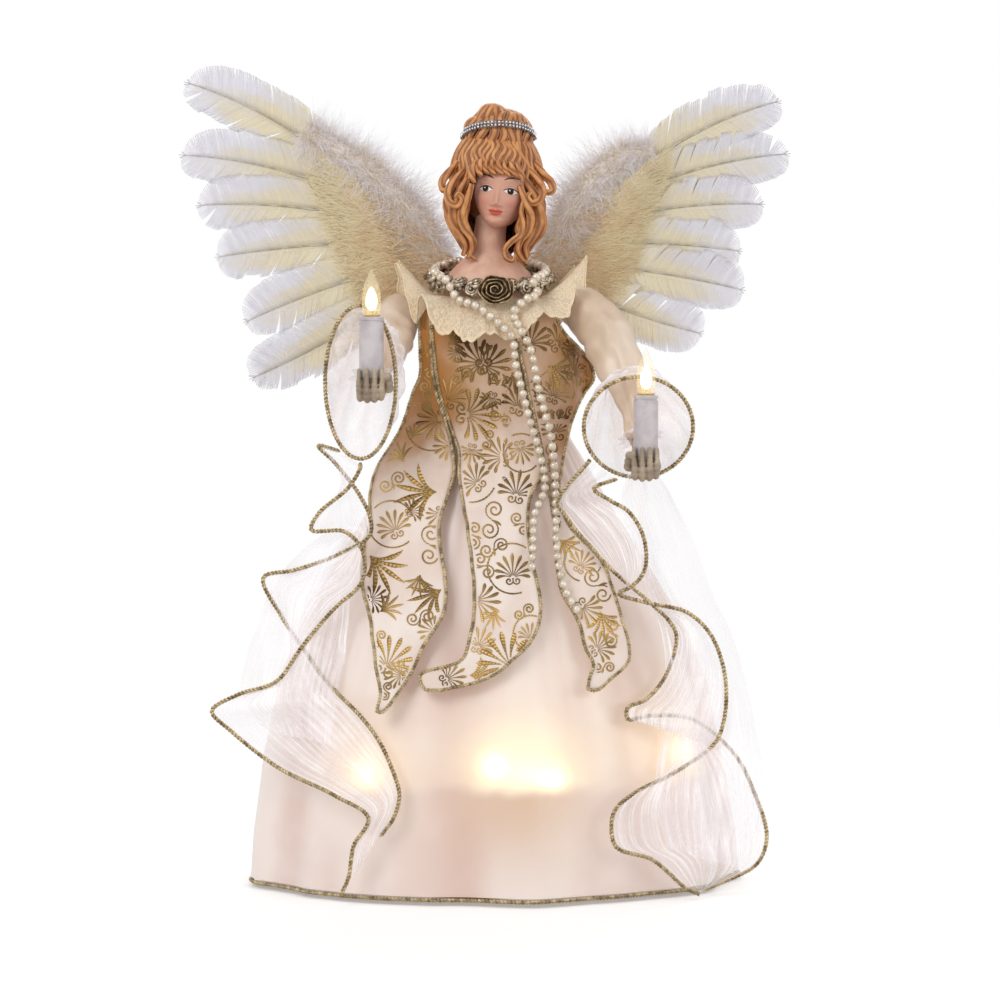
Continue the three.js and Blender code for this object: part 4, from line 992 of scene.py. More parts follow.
def panel_point(column, row):
    depth = panel_depth((column - AXIS_COLUMN) * PIXEL, EYE_HEIGHT + (EYE_ROW - row) * PIXEL)
    for _ in range(2):
        guess = photo_point(column, row, depth)
        depth = panel_depth(guess.x, guess.z)
    return photo_point(column, row, depth)


def panel_spot(column, row, lift):
    """A place on the panels' cloth with its small wrinkles and the pleat down the front."""
    p = panel_point(column, row)
    wrinkle = 0.55 * wander(column / 17, row / 31, 2.0) + 0.25 * wander(column / 6, row / 22, 5.0)
    pleat = 1.1 * math.exp(-((column - 505) / 2.2) ** 2) * ease((row - 350) / 30) * ease((500 - row) / 30)
    p.y -= lift + wrinkle + pleat
    return p


def panel_rows(pixels, count):
    rows = even([vec(*entry) for entry in pixels], count)
    for entry in rows:
        entry.y += 0.8 * wander(entry.x / 14, 3.0)
        entry.z += 0.8 * wander(entry.x / 14, 9.0)
    return rows


def edge_path(rows, lift):
    left = [panel_spot(r.y, r.x, lift) for r in rows]
    right = [panel_spot(r.z, r.x, lift) for r in rows]
    bottom = rows[-1]
    across = [panel_spot(mix(bottom.y, bottom.z, k / 6), bottom.x + 1.5 * math.sin(math.pi * k / 6), lift)
              for k in range(1, 6)]
    return left + across + right[::-1]


class Foil:
    """Gold strokes that lie on a panel's cloth, kept off where the panel ends."""

    def __init__(self, rows):
        self.rows = rows
        self.shape = Shape()

    def holds(self, column, row):
        if row < self.rows[0].x + 3 or row > self.rows[-1].x - 3:
            return False
        left = read_shares([(r.x, r.y) for r in self.rows], row)
        right = read_shares([(r.x, r.z) for r in self.rows], row)
        return left + 3 < column < right - 3

    def stroke(self, line, widths):
        count = len(line)
        sides = []
        for k, (column, row) in enumerate(line):
            a, b = line[max(0, k - 1)], line[min(count - 1, k + 1)]
            run = math.hypot(b[0] - a[0], b[1] - a[1]) or 1
            out = widths[k] / 2 / run
            offset = (-(b[1] - a[1]) * out, (b[0] - a[0]) * out)
            sides.append(((column + offset[0], row + offset[1]), (column - offset[0], row - offset[1])))
        for (a, b), (c, d) in zip(sides, sides[1:]):
            if all(self.holds(*corner) for corner in (a, b, c, d)):
                base = [self.shape.add(panel_spot(*corner, FOIL_LIFT)) for corner in (a, b, d, c)]
                self.shape.faces.append(tuple(base))


LEAF_SHARES = [(0, 0.16), (0.35, 0.3), (0.6, 0.72), (0.8, 1), (0.93, 0.85), (1, 0.3)]
LILY_SHARES = [(0, 0.2), (0.3, 0.5), (0.62, 1), (0.85, 0.62), (1, 0.05)]


def leaf(foil, origin, heading, bend, length, width, shares):
    line = []
    column, row = origin
    for k in range(11):
        share = k / 10
        line.append((column, row))
        turn = heading + bend * share ** 0.8
        column += length / 10 * math.sin(turn)
        row -= length / 10 * math.cos(turn)
    foil.stroke(line, [width * read_shares(shares, k / 10) for k in range(11)])


def spiral(foil, centre, radius, turns, start, handed, width):
    steps = int(18 * turns)
    line = []
    for k in range(steps + 1):
        share = k / steps
        turn = start + handed * TAU * turns * share
        reach = radius * (1 - 0.86 * share)
        line.append((centre[0] + reach * math.sin(turn), centre[1] - reach * math.cos(turn)))
    foil.stroke(line, [width * (0.7 + 0.5 * math.sin(math.pi * k / steps)) for k in range(steps + 1)])


def palmette(foil, column, row, size, turn, spread=1.95, leaves=9, width=0.13):
    for k in range(leaves):
        share = 2 * k / (leaves - 1) - 1
        heading = turn + share * spread * 0.62
        length = size * (1 - 0.3 * abs(share) ** 1.6)
        start = (column + size * 0.1 * math.sin(heading), row - size * 0.1 * math.cos(heading))
        leaf(foil, start, heading, share * spread * 0.42, length * 0.88, size * width, LEAF_SHARES)
    for side in (-1, 1):
        at = turn + math.pi + side * 0.9
        centre = (column + size * 0.2 * math.sin(at), row - size * 0.2 * math.cos(at))
        spiral(foil, centre, size * 0.17, 1.3, at + math.pi, side, size * 0.05)


def lily(foil, column, row, size, turn, spread=1.3, leaves=6):
    for k in range(leaves):
        share = 2 * k / (leaves - 1) - 1
        leaf(foil, (column, row), turn + share * spread * 0.3, share * spread, size * (1 - 0.22 * abs(share)),
             size * 0.11, LILY_SHARES)


def ringed(foil, column, row, size, turn):
    """A palmette in a round scroll that curls in at its end."""
    palmette(foil, column, row, size * 0.74, turn)
    centre = (column + size * 0.3 * math.sin(turn), row - size * 0.3 * math.cos(turn))
    steps = 34
    line = []
    for k in range(steps + 1):
        at = turn + math.pi * 0.9 + TAU * 0.82 * k / steps
        reach = size * (0.78 - 0.1 * k / steps)
        line.append((centre[0] + reach * math.sin(at), centre[1] - reach * math.cos(at)))
    foil.stroke(line, [1.5] * (steps + 1))


def scroll(foil, column, row, size, turn):
    """An S of two volutes with a short leaf at its middle."""
    for side in (-1, 1):
        centre = (column + side * size * 0.42 * math.sin(turn), row - side * size * 0.42 * math.cos(turn))
        spiral(foil, centre, size * 0.4, 1.7, turn + (math.pi if side > 0 else 0), 1, 1.5)
    leaf(foil, (column, row), turn + math.pi / 2, 0.6, size * 0.45, size * 0.1, LILY_SHARES)


# Motif, column, row, size in pixels and the way it opens in degrees, clockwise from up
LEFT_PRINT = [
    (palmette, 428, 350, 22, 300), (scroll, 427, 380, 16, 20), (ringed, 440, 418, 36, 235),
    (lily, 404, 462, 24, 330), (palmette, 452, 446, 20, 270), (lily, 436, 492, 46, 268),
    (scroll, 392, 482, 18, 60), (ringed, 396, 532, 32, 335), (scroll, 430, 545, 26, 5),
    (lily, 370, 556, 46, 140), (palmette, 440, 512, 18, 200), (lily, 441, 590, 38, 240),
    (lily, 380, 612, 26, 60), (scroll, 420, 618, 18, 80), (palmette, 386, 668, 34, 28),
    (palmette, 402, 676, 20, 280), (palmette, 370, 600, 20, 80), (scroll, 386, 692, 12, 20),
    (lily, 420, 575, 24, 190), (palmette, 436, 632, 20, 290), (palmette, 428, 326, 15, 20),
    (scroll, 427, 400, 14, 190), (lily, 412, 438, 16, 20), (palmette, 410, 512, 16, 60),
    (scroll, 378, 640, 13, 40),
]
CENTRE_PRINT = [
    (palmette, 482, 364, 31, 300), (palmette, 484, 366, 29, 75), (palmette, 448, 402, 25, 10),
    (lily, 448, 345, 26, 50), (palmette, 466, 414, 36, 92), (scroll, 500, 380, 16, 110),
    (lily, 512, 372, 24, 160), (palmette, 504, 458, 25, 300), (palmette, 517, 408, 26, 20),
    (ringed, 520, 446, 26, 170), (ringed, 478, 484, 33, 312), (palmette, 516, 496, 27, 10),
    (scroll, 492, 520, 25, 15), (scroll, 474, 536, 18, 5), (scroll, 494, 548, 19, 70),
    (scroll, 520, 524, 16, 150), (ringed, 513, 578, 34, 358), (scroll, 484, 566, 18, 150),
    (palmette, 476, 600, 27, 118), (lily, 496, 610, 22, 200), (scroll, 524, 612, 14, 60),
    (palmette, 511, 668, 39, 322), (ringed, 530, 640, 24, 10), (palmette, 478, 648, 22, 20),
    (palmette, 446, 680, 22, 60), (lily, 470, 676, 30, 90), (palmette, 472, 448, 16, 190),
    (palmette, 470, 336, 20, 330), (lily, 502, 338, 20, 20), (scroll, 462, 376, 15, 60),
    (scroll, 500, 418, 15, 300), (palmette, 458, 350, 14, 200), (scroll, 488, 440, 13, 20),
    (palmette, 492, 396, 16, 200),
]
RIGHT_PRINT = [
    (palmette, 530, 345, 26, 20), (palmette, 556, 344, 26, 60), (lily, 548, 366, 32, 120),
    (palmette, 572, 372, 25, 70), (ringed, 553, 398, 28, 20), (scroll, 536, 392, 18, 5),
    (palmette, 556, 434, 26, 350), (scroll, 550, 456, 18, 20), (palmette, 553, 486, 22, 160),
    (scroll, 556, 520, 14, 10), (lily, 560, 540, 26, 130), (ringed, 580, 568, 26, 30),
    (scroll, 598, 586, 24, 330), (palmette, 582, 606, 24, 140), (lily, 600, 612, 30, 160),
    (scroll, 612, 634, 18, 10), (palmette, 596, 650, 22, 60), (scroll, 604, 668, 14, 90),
    (palmette, 585, 382, 18, 100), (scroll, 520, 340, 12, 30), (lily, 538, 420, 20, 20),
    (palmette, 572, 352, 16, 20), (scroll, 566, 412, 13, 80), (palmette, 540, 470, 14, 30),
]


def make_panel(side, pixels, print_table, columns):
    rows = panel_rows(pixels, 84)
    shape = Shape()
    grid = [[panel_spot(mix(r.y, r.z, j / columns), r.x, 0) for j in range(columns + 1)] for r in rows]
    shape.grid(grid, flip=True)
    name = f"overdress_{side}_panel"
    cloth = shape.piece(f"{name}_cloth", "figure", "printed_sheer", SHEER, [name])
    solidify(cloth, PANEL_CLOTH)
    foil = Foil(rows)
    for motif, column, row, size, turn in print_table:
        motif(foil, column, row, size, math.radians(turn))
    gold = foil.shape.piece(f"{name}_gold_print", "figure", "gold_cord", FOIL)
    solidify(gold, 0.1)
    cord = twisted_cord(f"{name}_edge_cord", edge_path(rows, 0.25), 0.8, 2.6, "figure")


make_panel("left", LEFT_PANEL, LEFT_PRINT, 16)
make_panel("centre", CENTRE_PANEL, CENTRE_PRINT, 20)
make_panel("right", RIGHT_PANEL, RIGHT_PRINT, 14)


# Bust: shoulder plate, neck and face in one casting, with moulded hair

BUST_BASE_HALF_WIDTH, BUST_DEPTH_SHARE, BUST_RISE = 22, 0.76, 26
NECK_RADIUS, NECK_LEAN = 6.6, -0.4
HEAD_ACROSS = 2.4
BUST_SHARES = [(0, 1), (0.14, 0.99), (0.32, 0.9), (0.5, 0.74), (0.68, 0.52), (0.82, 0.36), (1, 0.31)]


def bust_half(height):
    share = read_shares(BUST_SHARES, (height - TORSO_TOP - SEAT_GAP) / BUST_RISE)
    around = read_shares([(0.31, 1), (0.52, 0.85), (1, BUST_DEPTH_SHARE)], share)
    return BUST_BASE_HALF_WIDTH * share, BUST_BASE_HALF_WIDTH * share * around


def make_shoulder_plate():
    sides = 64
    shape = Shape()
    rows = []
    base = TORSO_TOP + SEAT_GAP
    profile = [(0, bust_half(base)[0], bust_half(base)[1])]
    for k in range(1, 25):
        share = k / 24
        wide, deep = bust_half(base + BUST_RISE * share)
        profile.append((BUST_RISE * share, wide, deep))
    for rise in (30, 34, 38, 42):
        profile.append((rise, NECK_RADIUS * 0.99, NECK_RADIUS))
    for rise, wide, deep in profile:
        lean = NECK_LEAN * min(1, rise / BUST_RISE) + 0.12 * max(0, rise - BUST_RISE)
        shift = vec(lean, 0, 0)
        rows.append([form_point(turn, (wide, deep), 2, base + rise) + shift for turn in turns_of(sides)])
    shape.grid(rows, around=True)
    bottom = shape.add(vec(0, 0, base))
    shape.faces += [(bottom, (k + 1) % sides, k) for k in range(sides)]
    shape.piece("shoulder_plate_and_neck", "figure", "porcelain", BISQUE, ["head_bust"])


# The face has its own axes: across to the viewer's right, forward and up, from the middle between the eyes
FACE_EYES = photo_point(502.4, 192.0, 0) + vec(0, 0, 0.6)
FACE_YAW, FACE_ROLL, FACE_PITCH = math.radians(6), math.radians(7.5), math.radians(2)
FACE_TURN = (Matrix.Rotation(-FACE_YAW, 3, "Z") @ Matrix.Rotation(FACE_ROLL, 3, "Y")
             @ Matrix.Rotation(FACE_PITCH, 3, "X"))
EYE_OUT = 5.15
EYE_HALF, IRIS, BROW_HALF, LIP_HALF, LIP_HEIGHT = 2.95, 1.36, 3.9, 2.95, -8.8
FACE_TOP, FACE_BOTTOM, FACE_EDGE = 17.4, -15.35, 1.42

FACE_WIDE = [
    (-15.4, 0.2), (-15, 2.4), (-14.1, 4.4), (-12.6, 6.1), (-10, 8.1), (-7.5, 9.7), (-4, 11.3), (0, 12.2),
    (5, 12.1), (9, 10.9), (13, 8.6), (16, 5), (17.5, 0.2),
]
FACE_DEEP = [
    (-15.4, 9.5), (-15.1, 12.6), (-14.2, 15.0), (-12.8, 16.2), (-10.5, 16.2), (-8, 16.6), (-4, 17.0),
    (0, 17.0), (4, 17.4), (8, 16.6), (12, 13.8), (15, 9.6), (17.5, 0.4),
]
NOSE_RISE = [
    (-7.3, 0), (-6.7, 0.35), (-6.1, 1.7), (-5.4, 2.75), (-4.7, 2.7), (-3, 1.85), (-1, 1.1), (1, 0.6),
    (3.2, 0),
]
NOSE_WIDE = [(-7, 2.1), (-5.6, 1.5), (-4, 1.1), (-1, 1.0), (3, 1.4)]


def smooth_shares(table, at):
    """A table read with soft corners."""
    return sum(read_shares(table, at + step) for step in (-0.7, -0.35, 0, 0.35, 0.7)) / 5


def bell(x, y, across, up):
    return math.exp(-(x / across) ** 2 - (y / up) ** 2)


def face_relief(a, u):
    side = abs(a)
    rise = read_shares(NOSE_RISE, u) * math.exp(-(a / read_shares(NOSE_WIDE, u)) ** 2)
    rise += 0.85 * bell(side - 1.75, u + 5.95, 0.75, 0.75)
    rise -= 0.95 * bell(side - EYE_OUT, u - 0.3, 3.2, 2.4)
    rise += 1.05 * bell(side - EYE_OUT, u + 0.05, 2.5, 1.7)
    rise += 0.35 * bell(side - EYE_OUT, u - 4.4, 4.0, 1.1)
    rise += 0.55 * bell(side - 6.0, u + 5.2, 3.0, 3.0)
    rise += 0.85 * bell(a, u + 8.15, 2.5, 0.62) + 1.0 * bell(a, u + 9.45, 2.1, 0.66)
    rise -= 0.6 * bell(a, u + 8.8, 2.8, 0.2)
    rise -= 0.2 * bell(a, u + 7.1, 0.5, 0.6)
    rise -= 0.55 * bell(a, u + 10.8, 2.6, 0.75)
    rise += 0.75 * bell(a, u + 12.7, 2.6, 1.5)
    return rise


def face_place(turn, u):
    """A point of the head at a turn round it, 0 in front, and a height from the eyes."""
    power = 2.25
    wide, deep = smooth_shares(FACE_WIDE, u), smooth_shares(FACE_DEEP, u)
    s, c = math.sin(turn), math.cos(turn)
    a = wide * math.copysign(abs(s) ** (2 / power), s)
    f = (deep if c > 0 else 11) * math.copysign(abs(c) ** (2 / power), c)
    if c > 0:
        f += face_relief(a, u) * ease(c * 1.6)
    return a, f


def face_world(a, f, u):
    return FACE_EYES + FACE_TURN @ vec(a, -f, u)


SKIN, SKIN_SHADE, BLUSH_PAINT = rgb(222, 170, 148), rgb(180, 142, 140), rgb(212, 128, 114)
LIP_PAINT, LIP_LINE = rgb(212, 98, 80), rgb(140, 54, 46)
EYE_WHITE, IRIS_PAINT, LID_PAINT = rgb(244, 238, 236), rgb(6, 4, 3), rgb(14, 8, 6)
BROW_PAINT, CREASE_PAINT = rgb(44, 22, 14), rgb(170, 108, 90)


def paint_over(under, over, share):
    share = clamp(share)
    return tuple(mix(a, b, share) for a, b in zip(under, over))


def band(distance, half, soft=0.07):
    return ease((half + soft - abs(distance)) / (2 * soft))


def face_paint(a, u):
    tone = paint_over(SKIN, SKIN_SHADE, 0.75 * ease((abs(a) - 6.5) / 4))
    side = -1 if a < 0 else 1
    tone = paint_over(tone, BLUSH_PAINT, 0.5 * bell(abs(a) - 5.8, u + 5.4, 2.7, 2.2))
    half = math.sqrt(max(0, 1 - (a / LIP_HALF) ** 2))
    middle = LIP_HEIGHT + 0.05 * a * a
    top = middle + 1.35 * half * (1 - 0.28 * math.exp(-(a / 0.5) ** 2))
    bottom = middle - 1.6 * half
    inside = ease((top - u) / 0.22) * ease((u - bottom) / 0.22) * (1 if half > 0 else 0)
    tone = paint_over(tone, LIP_PAINT, 0.92 * inside)
    tone = paint_over(tone, LIP_LINE, 0.85 * band(u - middle, 0.07) * ease((2.6 - abs(a)) / 0.6))
    x = (abs(a) - EYE_OUT) * side
    y = u + 0.05 + 0.05 * x * side
    upper = 1.22 * (1 - (x / EYE_HALF) ** 2)
    lower = -1.12 * (1 - (x / EYE_HALF) ** 2)
    if abs(x) < EYE_HALF + 0.4:
        white = ease((upper - y) / 0.12) * ease((y - lower) / 0.12)
        tone = paint_over(tone, EYE_WHITE, white)
        away = math.hypot(x + 0.12, (y - 0.16) * 0.95)
        tone = paint_over(tone, IRIS_PAINT, white * ease((IRIS - away) / 0.14))
        glint = math.hypot(x + 0.45, y - 0.5)
        tone = paint_over(tone, (1, 1, 1), white * ease((0.3 - glint) / 0.1))
        lash = band(y - upper - 0.05, 0.25) * ease((EYE_HALF + 0.1 - abs(x)) / 0.3)
        tone = paint_over(tone, LID_PAINT, lash)
        below = 0.9 * band(y - lower, 0.09) * ease((EYE_HALF - 0.3 - abs(x)) / 0.5)
        tone = paint_over(tone, CREASE_PAINT, below)
        crease = 0.75 * band(y - (upper * 0.85 + 1.15), 0.1, 0.14) * ease((EYE_HALF - abs(x)) / 0.8)
        tone = paint_over(tone, CREASE_PAINT, crease)
    arch = 4.5 + 1.15 * (1 - ((abs(a) - 6.1) / BROW_HALF) ** 2)
    inside = BROW_HALF - abs(abs(a) - 5.6)
    brow = 0.95 * band(u - arch, 0.08 + 0.24 * ease(inside / 1.4), 0.1) * ease(inside / 0.4)
    return paint_over(tone, BROW_PAINT, brow)


def make_face():
    shape = Shape()
    front, rest, rows = 190, 26, 230
    turns = [mix(-FACE_EDGE, FACE_EDGE, k / (front - 1)) for k in range(front)]
    turns += [mix(FACE_EDGE, TAU - FACE_EDGE, k / rest) for k in range(1, rest)]
    grid = []
    tones = []
    for i in range(rows):
        u = mix(FACE_TOP, FACE_BOTTOM, i / (rows - 1))
        line = []
        for turn in turns:
            a, f = face_place(turn, u)
            line.append(face_world(a, f, u))
            tones.append(face_paint(a, u) if math.cos(turn) > 0 else SKIN_SHADE)
        grid.append(line)
    shape.grid(grid, around=True)
    count = len(turns)
    for first, flip in ((0, False), ((rows - 1) * count, True)):
        ring = [first + k for k in range(count)]
        middle = shape.add(sum((shape.points[k] for k in ring), vec(0, 0, 0)) / count)
        tones.append(tones[first])
        shape.faces += [(middle, a, b) if flip else (middle, b, a) for a, b in zip(ring, ring[1:] + ring[:1])]
    face = shape.piece("painted_face", "figure", "porcelain", FACE_BISQUE)
    layer = face.data.attributes.new("paint", "FLOAT_COLOR", "POINT")
    layer.data.foreach_set("color", [channel for tone in tones for channel in (*tone, 1)])


# Hair as locks that lie on a form, each a domed strip with fine grooves

def lock(shape, path, outs, width, height, taper):
    """A tapered lock along path; outs point away from what it lies on."""
    last = len(path) - 1
    rows = []
    places = []
    for k, p in enumerate(path):
        ahead = (path[min(last, k + 1)] - path[max(0, k - 1)]).normalized()
        out = outs[k] - ahead * outs[k].dot(ahead)
        out.normalize()
        across = ahead.cross(out)
        half, high = width * taper[k], height * taper[k]
        row = []
        place = []
        for n in range(LOCK_CELLS + 1):
            turn = math.pi * n / LOCK_CELLS
            groove = 0.5 + 0.5 * math.cos(LOCK_GROOVES * 2 * turn + math.pi)
            lift = math.sin(turn) ** 0.75 * (0.78 + 0.22 * groove)
            row.append(p + across * (half * math.cos(turn)) + out * (high * (lift - 0.25)))
            # The texture map's first place is low in the grooves and at the lock's sides, where the hair
            # finish paints shade
            place.append((clamp(math.sin(turn) * (0.35 + 0.65 * groove)), k / last))
        # The underside of the lock gets the darkest painted shade
        for n in (2, 1):
            turn = math.pi * n / 3
            row.append(p - across * (half * 0.8 * math.cos(turn)) - out * (high * 0.5))
            place.append((0.0, k / last))
        rows.append(row)
        places.append(place)
    start = shape.grid(rows, around=True, flip=True, places=places)
    shape.close_ends(start, len(rows), len(rows[0]), flip=True)


LOCK_CELLS, LOCK_GROOVES = 9, 3
HAIR_CENTRE = vec(2.6, 0.6, 288)
HAIR_HALVES = vec(18.6, 17.0, 22.0)
KNOT_CENTRE = vec(3.6, 0.4, 304.6)
KNOT_HALVES = vec(13.6, 13.2, 11.4)


def scaled(way, halves):
    return vec(way.x * halves.x, way.y * halves.y, way.z * halves.z)


def form_spot(centre, halves, turn, lean, out=0.0):
    """A point on an ellipsoid at a turn round it, 0 in front and positive to the right, and a lean up."""
    way = vec(math.cos(lean) * math.sin(turn), -math.cos(lean) * math.cos(turn), math.sin(lean))
    normal = vec(way.x / halves.x, way.y / halves.y, way.z / halves.z).normalized()
    return centre + scaled(way, halves) + normal * out, normal


def taper_of(low, high, power, steps):
    return [math.sin(math.pi * mix(low, high, k / steps)) ** power for k in range(steps + 1)]


def swept_lock(shape, chance, turn, low, phase):
    """A wavy lock from the hairline up to the knot."""
    path, outs = [], []
    steps = 26
    lean_in = chance.uniform(-0.08, 0.08)
    squeeze = 0.12 * min(1, (math.pi - abs(turn)) / 0.9)
    for k in range(steps + 1):
        share = k / steps
        wave = 0.075 * math.sin(TAU * 1.9 * share + phase) * math.sin(math.pi * min(1, share + 0.15))
        at = turn * (1 - squeeze * share) + wave + lean_in * share
        p, out = form_spot(HAIR_CENTRE, HAIR_HALVES, at, mix(low, SWEPT_TOP, share), -0.3)
        path.append(p)
        outs.append(out)
    lock(shape, path, outs, 1.8, 1.7, taper_of(0.1, 0.86, 0.6, steps))


SWEPT_LOCKS, SWEPT_TOP, KNOT_LOCKS, NECK_LOCKS = 50, 1.05, 20, 11
# Degrees round the head from the front, and degrees up or down where the hair begins
HAIRLINE = [(0, 5), (25, 3), (42, -8), (58, -22), (72, -40), (95, -52), (180, -58)]


def pixel_lock(shape, pixels, depths, width):
    """A hanging lock or curl through pixels of the photograph, round in section with grooves that wind."""
    last = len(pixels) - 1
    points = [photo_point(*pixel, mix(*depths, k / last)) for k, pixel in enumerate(pixels)]
    path = even(points, 40)
    rows = []
    places = []
    sides = 14
    for k, (p, (_, side, up)) in enumerate(zip(path, frames_along(path))):
        share = k / 39
        swell = 0.45 + 0.55 * math.sin(math.pi * min(1, share * 1.6 + 0.12) * 0.62)
        radius = width * swell * (1 - 0.6 * share ** 5)
        row = []
        place = []
        for turn in turns_of(sides):
            crest = 0.5 + 0.5 * math.cos(LOCK_GROOVES * turn + 3.2 * share * math.pi)
            reach = radius * (0.84 + 0.22 * crest)
            row.append(p + side * (math.cos(turn) * reach) + up * (math.sin(turn) * reach))
            # Low in the grooves, where the hair finish paints shade
            place.append((0.32 + 0.68 * crest, share))
        rows.append(row)
        places.append(place)
    start = shape.grid(rows, around=True, places=places)
    shape.close_ends(start, len(rows), sides)


LEFT_CURLS = [
    ([(462, 180), (450, 194), (448, 206), (452, 218), (457, 232), (464, 244), (468, 254)], (6, 5), 2.2),
    ([(458, 162), (448, 174), (442, 183), (443, 190), (449, 189), (449, 184)], (9, 12), 1.75),
    ([(464, 170), (453, 182), (448, 193), (450, 203), (458, 206), (462, 199),
     (458, 194), (455, 198)], (12, 16), 1.7),
    ([(468, 178), (460, 192), (454, 208), (454, 222), (461, 234), (466, 246), (463, 256)], (12, 9), 2.3),
    ([(472, 184), (467, 200), (462, 214), (464, 227), (471, 238), (472, 249), (467, 259)], (15, 10), 1.9),
    ([(466, 190), (458, 205), (457, 218), (461, 230), (468, 242), (470, 254)], (8, 5), 2.3),
    ([(469, 196), (467, 208), (465, 220), (469, 232), (474, 243), (470, 254), (476, 260)], (13, 10), 1.4),
    ([(460, 182), (451, 200), (450, 214), (454, 228), (461, 241), (466, 252)], (4, 2), 2.5),
    ([(464, 176), (456, 196), (454, 216), (460, 236), (468, 252)], (-2, -3), 2.8),
]
RIGHT_CURLS = [
    ([(534, 162), (543, 174), (551, 183), (552, 191), (545, 192), (544, 186)], (8, 11), 1.8),
    ([(528, 168), (537, 179), (543, 190), (540, 200), (532, 203), (528, 196), (532, 192)], (11, 15), 1.7),
    ([(524, 178), (532, 192), (539, 208), (539, 223), (532, 236), (525, 247), (527, 259)], (12, 9), 2.3),
    ([(520, 186), (525, 202), (531, 216), (528, 230), (520, 240), (518, 251), (524, 262)], (15, 11), 1.9),
    ([(524, 198), (521, 212), (523, 224), (520, 235), (511, 242), (505, 249),
     (506, 258), (513, 261), (515, 254)], (15, 14), 1.35),
    ([(530, 200), (536, 216), (533, 232), (525, 243), (521, 254), (526, 264)], (7, 5), 2.4),
    ([(521, 216), (518, 228), (521, 240), (516, 250), (519, 262)], (12, 10), 1.4),
    ([(528, 186), (536, 198), (541, 212), (542, 228), (534, 240), (527, 248), (529, 257)], (7, 5), 2.2),
    ([(532, 184), (540, 202), (540, 220), (534, 238), (526, 252)], (3, 2), 2.5),
    ([(530, 178), (538, 200), (537, 222), (530, 244), (524, 256)], (-2, -3), 2.8),
]
FRINGE = [
    [(488, 160), (485, 166), (486, 171), (489, 174)], [(493, 160), (491, 167), (493, 172), (496, 175)],
    [(499, 160), (498, 167), (500, 172), (503, 175)], [(505, 161), (504, 168), (507, 173), (510, 177)],
    [(511, 162), (512, 169), (515, 174), (518, 178)], [(482, 160), (479, 167), (479, 172), (482, 176)],
    [(517, 163), (519, 171), (522, 177), (522, 183)], [(476, 161), (472, 169), (472, 177), (475, 183)],
]


# Lumps of hair on top of the knot: centre, halves and the turn of their first lock
KNOT_LUMPS = [
    (vec(1.0, -2.6, 310.4), vec(7.2, 6.6, 6.6), 0.3), (vec(9.2, -1.8, 307.6), vec(6.4, 6.8, 6.0), 1.1),
    (vec(-4.0, -1.4, 306.2), vec(6.2, 6.4, 6.0), 2.0), (vec(3.4, 5.0, 308.0), vec(8.2, 6.4, 6.2), 0.9),
]


def knot_lump(shape, centre, halves, phase, turns=6):
    for j in range(turns):
        at = math.pi * j / turns + phase
        path, outs = [], []
        for k in range(21):
            around = mix(-0.35, math.pi + 0.35, k / 20)
            c, s = math.cos(around), math.sin(around)
            way = vec(c * math.cos(at), c * math.sin(at) - 0.25 * s, s)
            way += vec(0.1 * math.sin(3 * around + j), 0, 0)
            p = centre + scaled(way, halves)
            path.append(p)
            outs.append((p - centre).normalized())
        taper = [0.6 + 0.4 * math.sin(math.pi * k / 20) for k in range(21)]
        wide = 1.25 * math.pi * (halves.x + halves.y) / 2 / turns * 0.5
        lock(shape, path, outs, wide, 1.5, taper)


def closed_form(shape, centre, halves, rows=24, columns=40):
    """The form under the locks, painted dark as the shade between them."""
    groove_shade_place = (0.1, 0.5)
    grid = []
    for i in range(1, rows):
        lean = mix(math.pi / 2, -math.pi / 2, i / rows)
        grid.append([form_spot(centre, halves, -turn, lean)[0] for turn in turns_of(columns)])
    start = shape.grid(grid, around=True, places=[[groove_shade_place] * columns for _ in grid])
    top = shape.add(centre + vec(0, 0, halves.z), groove_shade_place)
    bottom = shape.add(centre - vec(0, 0, halves.z), groove_shade_place)
    last = start + (rows - 2) * columns
    for k in range(columns):
        following = (k + 1) % columns
        shape.faces.append((top, start + following, start + k))
        shape.faces.append((bottom, last + k, last + following))


def knot_lock(shape, k):
    """A wavy lock up the side of the knot."""
    path, outs = [], []
    for n in range(17):
        share = n / 16
        turn = TAU * k / KNOT_LOCKS + 0.12 * math.sin(TAU * 1.2 * share + k * 1.3) + 0.25 * share
        p, out = form_spot(KNOT_CENTRE, KNOT_HALVES, turn, mix(-0.35, 1.25, share))
        path.append(p)
        outs.append(out)
    lock(shape, path, outs, 2.3, 1.5, taper_of(0.22, 0.9, 0.6, 16))


def neck_lock(shape, k):
    """A lock that hangs over the back of the neck."""
    turn = math.radians(118 + 124 * k / (NECK_LOCKS - 1))
    top, _ = form_spot(HAIR_CENTRE, HAIR_HALVES, turn, math.radians(-38), -1)
    points = []
    for n in range(7):
        share = n / 6
        sway = 1.5 * math.sin(TAU * 1.1 * share + k * 1.7)
        inward = 1 - 0.3 * share
        across = HEAD_ACROSS + (top.x - HEAD_ACROSS) * inward + sway
        points.append(vec(across, top.y * inward, mix(top.z, 256.5, share)))
    path = even(points, 30)
    outs = [vec(p.x - HEAD_ACROSS, p.y, 0).normalized() for p in path]
    lock(shape, path, outs, 3.0, 2.6, taper_of(0.25, 0.93, 0.7, 29))


